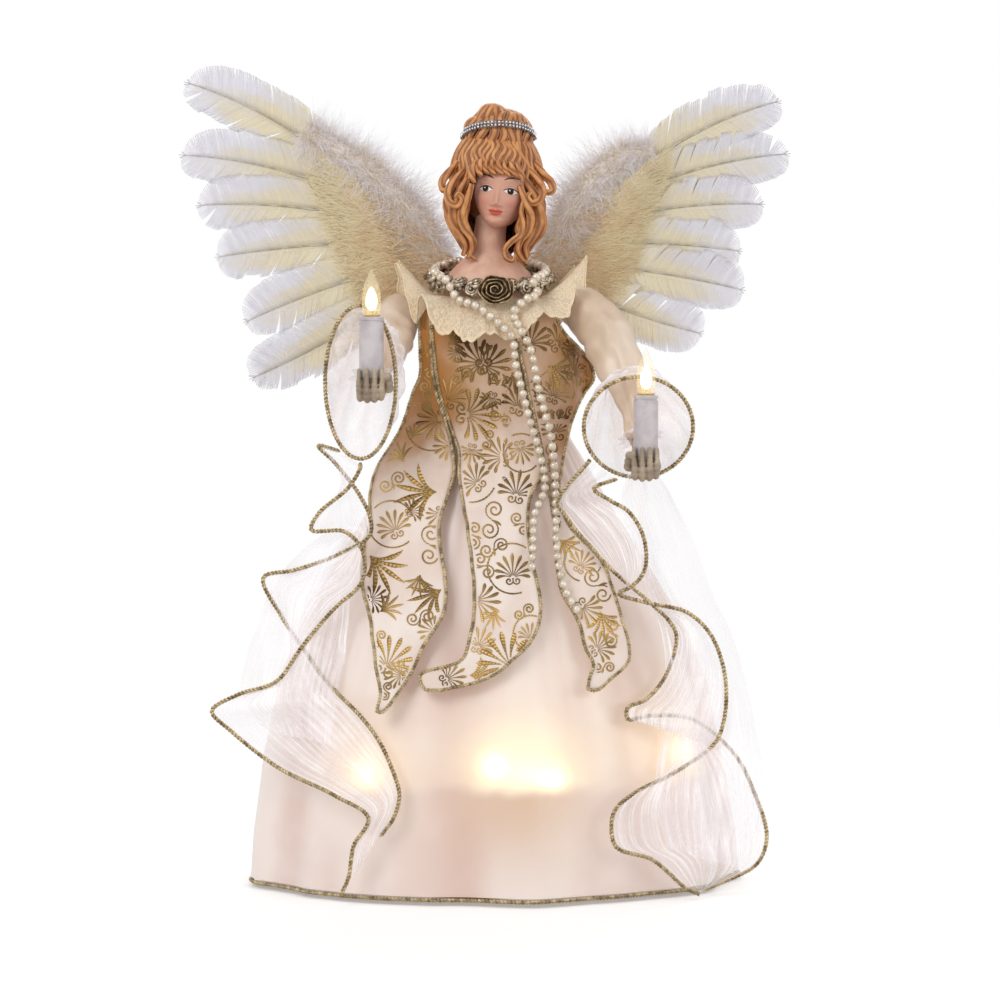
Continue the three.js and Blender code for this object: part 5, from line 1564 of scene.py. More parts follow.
def make_hair():
    chance = random.Random(11)
    shape = Shape()
    closed_form(shape, HAIR_CENTRE + vec(0, 2.0, 0.6), vec(HAIR_HALVES.x * 0.92, 14.0, HAIR_HALVES.z * 0.93))
    closed_form(shape, KNOT_CENTRE, KNOT_HALVES * 0.94)
    for k in range(SWEPT_LOCKS):
        turn = math.radians(-180 + 360 * k / SWEPT_LOCKS)
        low = math.radians(read_shares(HAIRLINE, abs(math.degrees(turn)))) + 0.02 * chance.random()
        swept_lock(shape, chance, turn, low, chance.random() * 1.4 + k * 0.55)
    for k in range(KNOT_LOCKS):
        knot_lock(shape, k)
    for lump in KNOT_LUMPS:
        knot_lump(shape, *lump)
    for curl in LEFT_CURLS + RIGHT_CURLS:
        pixel_lock(shape, *curl)
    for k, pixels in enumerate(FRINGE):
        pixel_lock(shape, pixels, (17.0, 18.2), 1.3 + 0.5 * (k * 0.37 % 1))
    for k in range(NECK_LOCKS):
        neck_lock(shape, k)
    shape.piece("moulded_hair", "figure", "porcelain", HAIR)


make_shoulder_plate()
make_face()
make_hair()


# Tiara: two rows of stones on a band round the knot of hair

def bead(radius, detail=2):
    return bare_primitive(bpy.ops.mesh.primitive_ico_sphere_add, subdivisions=detail, radius=radius)


def place_at(p, scale=1.0):
    return Matrix.Translation(p) @ Matrix.Scale(scale, 4)


TIARA_ACROSS, TIARA_HEIGHT, TIARA_RADIUS, TIARA_STONES = 3.5, 304.7, 15.1, 64


def tiara_ring(lift, grow):
    points = []
    for turn in turns_of(72):
        reach = TIARA_RADIUS + grow
        front = math.sin(turn)
        rise = -4.6 * front if front < 0 else -1.6 * front
        x = TIARA_ACROSS + reach * math.cos(turn)
        points.append(vec(x, reach * 0.97 * front, TIARA_HEIGHT + lift + rise))
    return points


def make_tiara():
    stones = Shape()
    setting = Shape()
    points, faces = bead(1.0)
    for lift, grow in ((0.62, 0), (-0.62, 0.2)):
        for p in even(tiara_ring(lift, grow), TIARA_STONES, closed=True):
            stones.copy_of(points, faces, place_at(p, 0.55))
    for lift in (0, 1.15, -1.15):
        setting.tube(even(tiara_ring(lift, -0.3), 120, closed=True), 0.26, sides=6, closed=True)
    stones.piece("tiara_stones", "figure", "rhinestone", STONE, ["tiara"])
    setting.piece("tiara_band", "figure", "rhinestone", SILVER)


make_tiara()


# Lace collar, rosette braid, ribbon rose

COLLAR_STAND, COLLAR_HALF_WIDTH, COLLAR_FRONT, COLLAR_BACK = 3.2, 38, 31, 18.6
COLLAR_THICKNESS, COLLAR_RUFFLE, COLLAR_RUFFLES, COLLAR_RISE = 0.8, 1.8, 11, 10
COLLAR_INNER = TORSO_TOP + COLLAR_STAND
SIDE_RISE, FRONT_FALL, BACK_FALL, BACK_CALM = 0.98, 2.33, 0.16, 0.85
SCALLOPS, FLUTES = 33, 13
BRAID_RADIUS, BRAID_HEIGHT, BRAID_DIP = 2.3, 246.5, 4.5
ROSETTES, ROSETTE_PETALS = 19, 7


def collar_point(turn, share, lift, fine=0.0):
    wide0, deep0 = bust_half(COLLAR_INNER)
    c, s = math.cos(turn), math.sin(turn)
    offset = SEAT_GAP + COLLAR_THICKNESS / 2
    front, back = max(0, -s), max(0, s)
    calm = 1 - BACK_CALM * back
    ruffle = COLLAR_RUFFLE * calm * share * share * math.cos(COLLAR_RUFFLES * turn) + fine * calm * share
    wide = mix(wide0 + offset, COLLAR_HALF_WIDTH, share) + ruffle
    deep = mix(deep0 + offset, COLLAR_FRONT if s < 0 else COLLAR_BACK, share) + ruffle
    fall = FRONT_FALL * front * front + BACK_FALL * back
    rise = COLLAR_RISE * share ** 1.2 * (SIDE_RISE - fall)
    return vec(wide * c, deep * s, COLLAR_INNER + rise + ruffle + lift)


# Where the collar falls lower: turn, width and fall
COLLAR_LOBES = [(-1.85, 0.38, 5.2), (-0.85, 0.34, 3.4), (-2.6, 0.3, 2.4), (-1.25, 0.14, 1.2)]


def make_collar():
    columns, rows = 396, 16
    shape = Shape()
    grid = []
    for i in range(rows + 1):
        line = []
        for turn in turns_of(columns):
            c, s = math.cos(turn), math.sin(turn)
            scallop = 1 - 0.035 * (1 - abs(math.sin(SCALLOPS * turn))) * ease(i / rows * 2 - 1)
            share = i / rows * scallop
            fine = 0.5 * math.sin(SCALLOPS * turn + 2 * math.sin(4 * turn)) + 1.1 * wander(c * 4, s * 4)
            p = collar_point(turn, share, 0, fine)
            side = c ** 2
            flute = math.cos(FLUTES * turn + 1.2 * math.sin(3 * turn))
            p += vec(0, 0, (7.5 * side + 1.8) * flute - 3.5 * side) * share ** 1.3 * (1 - 0.6 * max(0, s))
            for lobe, wide, fall in COLLAR_LOBES:
                away = (turn - lobe + math.pi) % TAU - math.pi
                p += vec(0, -0.25 * fall, -fall) * (share * share * math.exp(-(away / wide) ** 2))
            line.append(p)
        grid.append(line)
    places = [[(k / columns * 4, i / rows) for k in range(columns)] for i in range(rows + 1)]
    shape.grid(grid, around=True, flip=True, places=places)
    lace = shape.piece("lace_ruffle", "figure", "lace", LACE, ["lace_collar"])
    edge = Shape()
    edge.tube(grid[-1], 0.34, sides=6, closed=True)
    trim = edge.piece("lace_edge_thread", "figure", "lace", LACE_THREAD)


def braid_point(turn):
    height = BRAID_HEIGHT + BRAID_DIP * math.sin(turn)
    wide, deep = bust_half(height - BRAID_RADIUS)
    out = SEAT_GAP + BRAID_RADIUS
    return form_point(turn, (wide + out, deep + out), 2, height)


def make_braid():
    ring = [braid_point(turn) for turn in turns_of(60)]
    twisted_cord("neck_braid_core", even(ring, 240, closed=True), 1.5, 3.2, "figure", ["neck_braid"],
                 closed=True, material=PEWTER, slot="braid")
    torus = bare_primitive(bpy.ops.mesh.primitive_torus_add, major_segments=14, minor_segments=6,
                           major_radius=1.0, minor_radius=0.34)
    small = bead(1.0, 1)
    shape = Shape()
    chance = random.Random(5)
    for p in even(ring, ROSETTES, closed=True):
        out = vec(p.x, p.y, 0).normalized()
        for row, lean in ((0, 0.0), (1, 1.0)):
            face_way = (out * math.cos(lean) + vec(0, 0, 1) * math.sin(lean)).normalized()
            shift = vec(-out.y, out.x, 0) * (row * 1.9)
            seat = p + face_way * (1.9 + 0.8 * row) + shift
            turn = face_way.to_track_quat("Z", "Y").to_matrix().to_4x4()
            spun = Matrix.Rotation(chance.random() * TAU, 4, "Z")
            big = 1 + 0.24 * abs(out.x)
            for size, height in ((2.3 * big, 0.0), (1.35 * big, 0.75)):
                stand = Matrix.Translation(seat + face_way * height) @ turn @ spun @ Matrix.Scale(size, 4)
                shape.copy_of(*torus, stand)
            shape.copy_of(*small, place_at(seat + face_way * 1.2, 0.8))
            for petal in turns_of(ROSETTE_PETALS):
                reach = Matrix.Translation(vec(2.5 * big, 0, -0.3))
                way = turn @ spun @ Matrix.Rotation(petal, 4, "Z") @ reach
                shape.copy_of(*small, Matrix.Translation(seat) @ way @ Matrix.Scale(0.9, 4))
    shape.piece("braid_rosettes", "figure", "braid", PEWTER)


# Leaves under the rose: the turn of each and its size
ROSE_LEAVES = [(-2.5, 1.0), (-0.65, 1.0), (0.5, 0.85), (2.7, 0.85), (-1.6, 0.9)]
RIBBON_THICKNESS, ROSE_TURNS, ROSE_REACH = 0.3, 4.1, 6.1


def make_rose():
    low, high = (Vector(corner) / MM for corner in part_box("collar_rose"))
    middle = (low + high) / 2
    shape = Shape()
    steps, rows = 220, 8
    grid = []
    for k in range(steps + 1):
        share = k / steps
        turn = TAU * ROSE_TURNS * share
        reach = 0.5 + ROSE_REACH * share ** 0.9
        frill = 0.35 * math.sin(turn * 5.2) * share
        tuck = 0.5 * (1 + math.sin(turn * 1.25 + 0.6)) * share
        line = []
        for j in range(rows + 1):
            up = j / rows
            r = reach * (0.82 + 0.03 * up) + up ** 1.6 * (0.6 + 1.6 * share) + frill * up
            depth = high.y - 0.9 - (up * (6.6 - 3.4 * share - 1.1 * tuck))
            x, z = r * math.cos(turn) * 1.02, r * math.sin(turn) * 0.84
            line.append(vec(middle.x + x, depth, middle.z + z))
        grid.append(line)
    shape.grid(grid)
    solidify(shape.piece("coiled_ribbon_rose", "figure", "ribbon", RIBBON, ["collar_rose"]), RIBBON_THICKNESS)
    leaves = Shape()
    for turn, size in ROSE_LEAVES:
        c, s = math.cos(turn), math.sin(turn)
        grid = []
        for i in range(9):
            share = i / 8
            out = (3.2 + 5.0 * share) * size
            half = 2.3 * size * math.sin(math.pi * mix(0.12, 0.97, share))
            line = []
            for j in range(7):
                across = mix(-1, 1, j / 6)
                bow = 0.7 * across * across - 0.5 * share
                x = out * c - half * across * s
                z = out * s + half * across * c
                line.append(vec(middle.x + x * 0.86, high.y - 1.6 - 0.8 * bow, middle.z + z * 0.74))
            grid.append(line)
        leaves.grid(grid)
    solidify(leaves.piece("ribbon_rose_leaves", "figure", "ribbon", RIBBON), RIBBON_THICKNESS)


make_collar()
make_braid()
make_rose()


# Pearl string: each bead on its thread, along the route that the CAD gives it

LEFT_STRAND = [
    (532, 567), (533, 545), (535, 515), (545, 488), (543, 468), (537, 444), (529, 418), (522, 390),
    (515, 362), (512, 338),
]
RIGHT_STRAND = [
    (521, 330), (530, 348), (535, 372), (541, 400), (549, 428), (553, 455), (555, 482), (556, 512),
    (556, 542), (560, 572), (567, 594), (577, 610),
]
COLLAR_LOOP = [(-0.505, 0.86), (-0.56, 0.66), (-0.64, 0.52)]
BRAID_LOOP = [
    (-0.72, 0.2), (-0.8, 0.36), (-0.92, 0.46), (-1.08, 0.5), (-1.25, 0.5), (-1.42, 0.5), (-1.58, 0.5),
    (-1.75, 0.5), (-1.92, 0.5), (-2.08, 0.46), (-2.2, 0.36), (-2.28, 0.2),
]
MIRROR_TURN = -1.46
PEARL_RADIUS, PEARL_PITCH, STRAND_HANG = 1.45, 3.9, 33.5
PEARL_GROWTH, NECK_GROWTH, THREAD_RADIUS = 1.16, 0.26, 0.3
PANEL_EDGE = 2


def strand_point(pixel):
    guess = photo_point(*pixel, STRAND_HANG)
    clear = panel_depth(guess.x, guess.z) + PANEL_EDGE / 2 + PEARL_RADIUS + SEAT_GAP + PLEAT_DEPTH
    return photo_point(*pixel, max(STRAND_HANG, clear))


def pearl_on_braid(shares):
    turn, lean = shares[0] * math.pi, shares[1] * math.pi
    reach = BRAID_RADIUS + PEARL_RADIUS + SEAT_GAP
    out = vec(math.cos(turn), math.sin(turn), 0)
    return braid_point(turn) + out * (reach * math.cos(lean)) + vec(0, 0, reach * math.sin(lean))


def make_pearls():
    rest = PEARL_RADIUS + COLLAR_THICKNESS / 2 + SEAT_GAP + COLLAR_RUFFLE * 0.75
    points = [strand_point(p) for p in LEFT_STRAND]
    points += [collar_point(turn * math.pi, share, rest) for turn, share in COLLAR_LOOP]
    points += [pearl_on_braid(s) for s in BRAID_LOOP]
    points += [collar_point((MIRROR_TURN * 2 - turn) * math.pi, share, rest)
               for turn, share in COLLAR_LOOP[::-1]]
    points += [strand_point(p) for p in RIGHT_STRAND]
    fine = even(points, 1400)
    count = int(length_of(fine) / PEARL_PITCH)
    sphere = bare_primitive(bpy.ops.mesh.primitive_uv_sphere_add, segments=16, ring_count=10, radius=1.0)
    pearls = Shape()
    for k, p in enumerate(even(fine, count, smooth=False)):
        near_neck = clamp(1 - abs(2 * k / count - 1) * 1.6)
        pearls.copy_of(*sphere, place_at(p, PEARL_RADIUS * (PEARL_GROWTH + NECK_GROWTH * near_neck)))
    pearls.piece("pearls", "figure", "pearl", PEARL, ["pearl_string"])
    thread = Shape()
    thread.tube(even(fine, 420, smooth=False), THREAD_RADIUS, sides=5)
    thread.piece("pearl_thread", "figure", "pearl", CANDLE)


make_pearls()


# Arms

class Arm:
    """An arm's measures: the candle's place, the bell's mouth, the drape's start and the sleeve's path."""

    def __init__(self, name, side, shoulder, sleeve, candle, bell, drape, cuts):
        self.name, self.side = name, side
        across, self.top = candle
        self.across = across
        self.bell_start, self.mouth, self.depth, self.half, self.turn = bell
        self.drape = drape
        self.bell_cut, self.drape_area = cuts
        points = [vec(side * SHOULDER_ACROSS, -1, shoulder)]
        points += [vec(across * a, -CANDLE_DEPTH * d, shoulder * h) for a, d, h in sleeve]
        self.path = even(points, SLEEVE_STEPS + 1)

    def at(self, share):
        place = share * SLEEVE_STEPS
        k = min(SLEEVE_STEPS - 1, int(place))
        return self.path[k].lerp(self.path[k + 1], place - k)

    def along(self, share):
        return (self.at(min(1, share + 0.02)) - self.at(max(0, share - 0.02))).normalized()


SHOULDER_ACROSS, SHOULDER_RADIUS, WRIST_RADIUS = 38, 9.4, 5
SLEEVE_PUFF, INNER_SAG, TUCK_ROWS, SLEEVE_STEPS = 1.8, 4.2, 8, 60
CANDLE_RADIUS, CANDLE_LENGTH, CANDLE_BORE, CANDLE_BORE_DEPTH, CANDLE_DEPTH = 4.85, 30, 3.5, 14, 55
FLAME_BASE_RADIUS, FLAME_BASE_LENGTH, FLAME_RADIUS, FLAME_LENGTH = 3.1, 12, 3.7, 19
PALM, CORD_RADIUS, BELL_THICKNESS, DRAPE_HANG, DRAPE_CLEARANCE, OUTER_LIFT = 9.5, 0.95, 0.8, 46, 2.6, 4.5
FLOOR_CLEARANCE, CLOTH_ON_FLOOR, LIP = 0.8, 0.7, 1.3

# Name, side, shoulder's height, sleeve's path in shares (across, depth and height), candle's place; the bell's
# start, mouth, depth, halves and turn; the drape's two ends on the bell; flat bell cloth and drape area
ARMS = [
    Arm("left", -1, 231, [(0.9, 0.25, 0.974), (0.96, 0.5, 0.931), (0.996, 0.74, 0.892)], (-46.8, 231),
        (0.5, (362, 382), 42, (16, 30.5), -0.46), (-0.5, -0.68), ((0.115, 0.028), 0.005)),
    Arm("right", 1, 234, [(0.78, 0.27, 0.962), (0.893, 0.53, 0.885), (0.974, 0.78, 0.778)], (61.6, 200),
        (0.6, (638, 427), 44, (22, 20), 0.12), (-0.62, -0.8), ((0.1, 0.026), 0.006)),
]


def sleeve_radius(share):
    return mix(SHOULDER_RADIUS * 0.9, WRIST_RADIUS, share ** 0.8)


def make_sleeve(arm):
    """Padded satin that is tucked in at the shoulder, sags towards the bodice and narrows to the wrist."""
    sides = 48
    inward = SHOULDER_ACROSS - torso_half(arm.at(0).z)[0] - SEAT_GAP
    start = arm.at(0) - arm.along(0) * inward * 0.8
    path = [start.lerp(arm.at(0), k / TUCK_ROWS) for k in range(TUCK_ROWS)] + arm.path
    rows = []
    for k, (p, (_, side, up)) in enumerate(zip(path, frames_along(path))):
        share = max(0, k - TUCK_ROWS) / SLEEVE_STEPS
        radius = sleeve_radius(share)
        if k < 22:
            radius = mix(radius, SHOULDER_RADIUS, ease(1 - abs(k - TUCK_ROWS) / 14))
            radius *= math.sin(math.pi / 2 * clamp((k + 0.7) / 7)) if k < 7 else 1
        row = []
        for turn in turns_of(sides):
            fold = 0.55 * wander(math.cos(turn) * 2.2, math.sin(turn) * 2.2, k / 7 + arm.side * 9)
            fold += 0.3 * math.sin(k * 0.55 + 3 * math.cos(turn) + arm.side) * ease(share * 3)
            fold += 0.45 * math.cos(5 * turn + 3 * share + arm.side) * (0.4 + share)
            way = side * math.cos(turn) + up * math.sin(turn)
            inner = max(0, way.dot(vec(-0.8 * arm.side, 0, -0.6))) ** 2
            sag = INNER_SAG * inner * math.sin(math.pi * clamp(share * 1.2))
            puff = SLEEVE_PUFF * math.sin(math.pi * clamp(share * 1.25))
            row.append(p + way * (radius + puff + sag + fold * 1.4 - 0.35))
        rows.append(row)
    shape = Shape()
    shape.close_ends(shape.grid(rows, around=True), len(rows), sides)
    sleeve = shape.piece(f"{arm.name}_satin_sleeve", "figure", "satin", SLEEVE_SATIN_AND_SHADE, [f"{arm.name}_sleeve"])


def make_cuff(arm):
    wrist, along = arm.at(0.985), arm.along(0.985)
    side = along.orthogonal().normalized()
    up = along.cross(side)
    rows = []
    for i in range(9):
        share = i / 8
        row = []
        for turn in turns_of(96):
            frill = 1.1 * math.sin(12 * turn + arm.side) * share + 0.5 * math.sin(5 * turn) * share
            reach = WRIST_RADIUS + 0.2 + 3.2 * share ** 1.3 + frill
            way = side * math.cos(turn) + up * math.sin(turn)
            row.append(wrist + along * (share * 2.6 - 2.2) + way * reach)
        rows.append(row)
    shape = Shape()
    shape.grid(rows, around=True)
    frill = shape.piece(f"{arm.name}_cuff_frill", "figure", "organza", CUFF_NET)


# The hand in shares of its palm. A finger: across and its curl. A lump: forward (not at a tip), up and size
FINGERS = [(-0.5, 0.9), (-0.18, 1.0), (0.14, 0.97), (0.44, 0.82)]
FINGER_LUMPS = [
    (0.1, -0.5, 0.21), (0.36, -0.52, 0.21), (0.58, -0.4, 0.2), (0.7, -0.2, 0.19), (0.72, 0.02, 0.17),
    (0.64, 0.18, 0.15),
]
FINGERTIP_LUMPS = [(0.34, 0.145), (0.48, 0.135), (0.6, 0.12)]
THUMB_LUMPS = [(0.0, -0.1, 0.23), (0.24, 0.12, 0.21), (0.42, 0.36, 0.18)]


def hand_lumps(arm, grip):
    """Centres and halves of the lumps that make a half-closed hand."""
    palm = grip + vec(0, 0.3, 0) * PALM
    wrist = arm.at(1) + arm.along(1) * SEAT_GAP
    lumps = [(grip + vec(0, 0.3, -0.12) * PALM, vec(0.66, 0.6, 0.56) * PALM)]
    for share in (0, 0.25, 0.5, 0.75, 1):
        lumps.append((wrist.lerp(palm, share), vec(1, 1, 1) * mix(3.9, 4.6, share)))
    for across, curl in FINGERS:
        for forward, up, size in FINGER_LUMPS:
            spot = grip + vec(across * (1 + 0.15 * up), -forward * curl, up * curl) * PALM
            lumps.append((spot, vec(0.78, 1, 1.05) * size * PALM))
        hug = math.sqrt((CANDLE_RADIUS + 1.3) ** 2 - (across * PALM) ** 2) / PALM
        for up, size in FINGERTIP_LUMPS:
            spot = grip + vec(across, -hug, up * (0.9 + 0.1 * curl)) * PALM
            lumps.append((spot, vec(0.8, 1, 1.1) * size * PALM))
    for forward, up, size in THUMB_LUMPS:
        lumps.append((grip + vec(-arm.side * 0.7, -forward, up) * PALM, vec(1, 1, 1) * size * PALM))
    return lumps


def make_hand(arm):
    """A half-closed hand round the candle's foot: lumps that are fused by a remesh and smoothed."""
    foot = arm.top - CANDLE_LENGTH
    made = []
    for centre, halves in hand_lumps(arm, vec(arm.across, -CANDLE_DEPTH, foot + PALM * 0.3)):
        bpy.ops.mesh.primitive_uv_sphere_add(segments=16, ring_count=10, radius=MM, location=centre * MM)
        bpy.context.active_object.scale = halves
        made.append(bpy.context.active_object)
    pick(*made)
    bpy.ops.object.join()
    hand = bpy.context.active_object
    apply_transform()
    modify(hand, "REMESH", mode="VOXEL", voxel_size=0.3 * MM)
    modify(hand, "SMOOTH", factor=0.5, iterations=3)
    hand.name = f"{arm.name}_bisque_hand"
    hand.data.polygons.foreach_set("use_smooth", [True] * len(hand.data.polygons))
    hand.data.materials.clear()
    hand.data.materials.append(HAND)
    room = CANDLE_RADIUS + 0.15
    for v in hand.data.vertices:
        out = v.co / MM - vec(arm.across, -CANDLE_DEPTH, 0)
        flat = math.hypot(out.x, out.y)
        if v.co.z / MM > foot - SEAT_GAP and flat < room:
            grow = room / max(flat, 0.05)
            v.co.x = (arm.across + out.x * grow) * MM
            v.co.y = (-CANDLE_DEPTH + out.y * grow) * MM
    keep(hand, "figure", [f"{arm.name}_hand"])


def turned(name, profile, segments=48):
    """A ring that is extruded and resized from step to step of a profile of radius and height."""
    bpy.ops.object.select_all(action="DESELECT")
    radius, height = profile[0]
    bpy.ops.mesh.primitive_circle_add(vertices=segments, radius=radius * MM, fill_type="NGON",
                                      location=(0, 0, height * MM))
    obj = bpy.context.active_object
    obj.name = name
    apply_transform()
    bpy.ops.object.mode_set(mode="EDIT")
    bpy.ops.mesh.select_all(action="SELECT")
    for (before, low), (after, high) in zip(profile, profile[1:]):
        bpy.ops.mesh.extrude_region_move(TRANSFORM_OT_translate={"value": (0, 0, (high - low) * MM)})
        bpy.ops.transform.resize(value=(after / before, after / before, 1))
    bpy.ops.mesh.select_all(action="SELECT")
    bpy.ops.mesh.normals_make_consistent(inside=False)
    bpy.ops.object.mode_set(mode="OBJECT")
    return obj


def finish_turned(obj, move, body, material, replaces=(), angle=40):
    obj.location = move * MM
    pick(obj)
    apply_transform()
    bpy.ops.object.shade_smooth_by_angle(angle=math.radians(angle))
    obj.data.materials.clear()
    obj.data.materials.append(material)
    keep(obj, body, replaces)


# Profiles of radius and height from the candle's end: tube with its bore, lamp base, lamp glass and glow
TUBE_PROFILE = [
    (CANDLE_RADIUS - 0.5, -CANDLE_LENGTH), (CANDLE_RADIUS - 0.15, -CANDLE_LENGTH + 0.12),
    (CANDLE_RADIUS, -CANDLE_LENGTH + 0.5), (CANDLE_RADIUS, -LIP - 0.9), (CANDLE_RADIUS - 0.35, -LIP - 0.75),
    (CANDLE_RADIUS - 0.35, -LIP - 0.25), (CANDLE_RADIUS, -LIP), (CANDLE_RADIUS, -0.3),
    (CANDLE_RADIUS - 0.3, 0), (CANDLE_BORE + 0.3, 0), (CANDLE_BORE, -0.3),
    (CANDLE_BORE, -CANDLE_BORE_DEPTH),
]
BASE_PROFILE = [
    (FLAME_BASE_RADIUS - 0.5, -FLAME_BASE_LENGTH), (FLAME_BASE_RADIUS, -FLAME_BASE_LENGTH + 0.4),
    (FLAME_BASE_RADIUS, 0.2), (FLAME_RADIUS - 0.1, 0.45), (FLAME_RADIUS - 0.1, 0.9), (1.2, 1.1),
]
GLASS_PROFILE = [
    (FLAME_RADIUS - 0.35, 1.0), (FLAME_RADIUS - 0.1, 1.5), (FLAME_RADIUS, 4), (FLAME_RADIUS, 9),
    (FLAME_RADIUS * 0.94, 10.6), (FLAME_RADIUS * 0.8, 12.4), (FLAME_RADIUS * 0.6, 14.3),
    (FLAME_RADIUS * 0.38, 16.2), (FLAME_RADIUS * 0.2, 17.8), (FLAME_RADIUS * 0.1, 18.7),
    (0.08, FLAME_LENGTH),
]
GLOW_PROFILE = [(0.5, 2.4), (1.6, 3.2), (2.25, 4.8), (2.35, 6.6), (1.95, 8.6), (1.15, 10.4), (0.3, 11.8)]
# Half of the filament's wire: distance from the lamp's middle and height
WIRE_LEG = [(1.3, 1.2), (1.35, 3.2), (1.0, 5.4), (0.5, 7)]


def make_candle(arm):
    place = vec(arm.across, -CANDLE_DEPTH, arm.top)
    body = f"{arm.name}_lamp"
    tube = turned(f"{arm.name}_candle", TUBE_PROFILE)
    finish_turned(tube, place, "figure", CANDLE, [f"{arm.name}_candle_tube"])
    base = turned(f"{body}_base", BASE_PROFILE, 32)
    finish_turned(base, place, body, LAMP_BASE, [f"{arm.name}_candle_lamp"])
    glass = turned(f"{body}_glass", GLASS_PROFILE, 40)
    finish_turned(glass, place, body, GLASS, angle=60)
    core = turned(f"{body}_glow", GLOW_PROFILE, 24)
    finish_turned(core, place, body, GLOW_CORE, angle=60)
    wires = Shape()
    for side in (-1, 1):
        wires.tube(even([place + vec(side * out, 0, up) for out, up in WIRE_LEG], 12), 0.22, sides=6)
    wires.piece(f"{body}_wires", body, "lamp_glass", FILAMENT)


def mouth_point(arm, turn):
    across = arm.half[0] * math.cos(turn)
    up = arm.half[1] * math.sin(turn)
    middle = photo_point(*arm.mouth, arm.depth)
    return middle + vec(across * math.cos(arm.turn), across * math.sin(arm.turn), up)


def bell_cord_point(arm, turn):
    forward = vec(math.sin(arm.turn), -math.cos(arm.turn), 0)
    return mouth_point(arm, turn) + forward * (CORD_RADIUS + SEAT_GAP + BELL_THICKNESS / 4)


def make_bell(arm):
    start = arm.at(arm.bell_start)
    start_radius = sleeve_radius(arm.bell_start) + SEAT_GAP + BELL_THICKNESS
    along = arm.along(arm.bell_start)
    up = (vec(0, 0, 1) - along * along.z).normalized()
    across = up.cross(along).normalized()
    if across.x < 0:
        across.negate()
    rows = 22
    grid = []
    for i in range(rows + 1):
        share = i / rows
        puff = math.sin(share * math.pi) * start_radius * 0.25
        line = []
        for turn in turns_of(144):
            c, s = math.cos(turn), math.sin(turn)
            first = start + across * (start_radius * c) + up * (start_radius * s)
            wave = 1.6 * share * math.sin(11 * turn + 2 * math.sin(2 * turn) + arm.side)
            wave += 1.8 * wander(c * 4, s * 4, share * 5)
            wave *= min(1, 4 * (1 - share) + 0.25)
            line.append(first.lerp(mouth_point(arm, turn), share) + (across * c + up * s) * (puff + wave))
        grid.append(line)
    shape = Shape()
    shape.grid(grid, around=True)
    name = f"{arm.name}_organza_sleeve_bell"
    bell_cloth = shape.piece(name, "figure", "organza", BELL_NET, [f"{arm.name}_organza_bell"])
    ring = [bell_cord_point(arm, turn) for turn in turns_of(240)]
    cord = twisted_cord(f"{arm.name}_bell_edge_cord", ring, CORD_RADIUS, CORD_PITCH, "figure",
                        [f"{arm.name}_bell_cord"], closed=True)


LEFT_DRAPE = [
    ((359, 471), (318, 446)), ((348, 488), (334, 462)), ((318, 514), (360, 496)), ((311, 530), (371, 522)),
    ((345, 532), (369, 536)), ((363, 553), (342, 553)), ((361, 583), (296, 570)), ((334, 609), (263, 578)),
    ((301, 648), (280, 615)), ((276, 682), (302, 648)), ((236, 696), (322, 677)), ((211, 712), (340, 697)),
    ((230, 732), (358, 715)), ((276, 768), (376, 738)), ((334, 797), (390, 766)), ((368, 820), (399, 797)),
    ((353, 848), (393, 820)), ((348, 879), (386, 830)), ((340, 898), (380, 838)),
]
RIGHT_DRAPE = [
    ((594, 489), (558, 503)), ((611, 501), (566, 516)), ((629, 512), (576, 530)), ((644, 538), (594, 550)),
    ((645, 570), (610, 568)), ((633, 586), (622, 579)), ((619, 594), (636, 591)), ((647, 603), (655, 607)),
    ((688, 613), (670, 622)), ((711, 635), (677, 637)), ((724, 668), (667, 675)), ((727, 700), (646, 701)),
    ((724, 724), (628, 709)), ((718, 741), (628, 720)), ((704, 755), (650, 717)), ((672, 776), (694, 721)),
    ((633, 796), (735, 755)), ((614, 815), (756, 796)), ((616, 848), (768, 839)), ((653, 862), (758, 866)),
    ((686, 890), (725, 884)), ((700, 908), (706, 892)),
]


def drape_point(pixel, lift):
    depth = DRAPE_HANG
    for _ in range(3):
        guess = photo_point(*pixel, depth)
        clear = depth_clear_of_skirt(guess.x, max(guess.z, HEM_HEIGHT), DRAPE_CLEARANCE)
        depth = max(DRAPE_HANG, clear) + lift
    place = photo_point(*pixel, depth)
    place.z = max(place.z, CORD_RADIUS + FLOOR_CLEARANCE)
    return place


def drape_top(arm, turn_share):
    turn = turn_share * math.pi
    c, s = math.cos(turn), math.sin(turn)
    out = vec(c * math.cos(arm.turn), c * math.sin(arm.turn), s).normalized()
    return bell_cord_point(arm, turn) + out * (CORD_RADIUS * 2 + SEAT_GAP)


def hanging_cloth(first, second, rows, columns, folds, clearance):
    """Cloth between two lines, moved by its folds and kept clear of the skirt and the floor."""
    grid = []
    for i in range(rows + 1):
        at = i / rows
        start, end = curve_at(first, at), curve_at(second, at)
        line = []
        for j in range(columns + 1):
            share = j / columns
            p = start.lerp(end, share)
            p += folds(at, share, (end - start).length)
            p.y = min(p.y, -depth_clear_of_skirt(p.x, max(p.z, HEM_HEIGHT), clearance))
            p.z = max(p.z, CLOTH_ON_FLOOR)
            line.append(p)
        grid.append(line)
    shape = Shape()
    shape.grid(grid)
    return shape


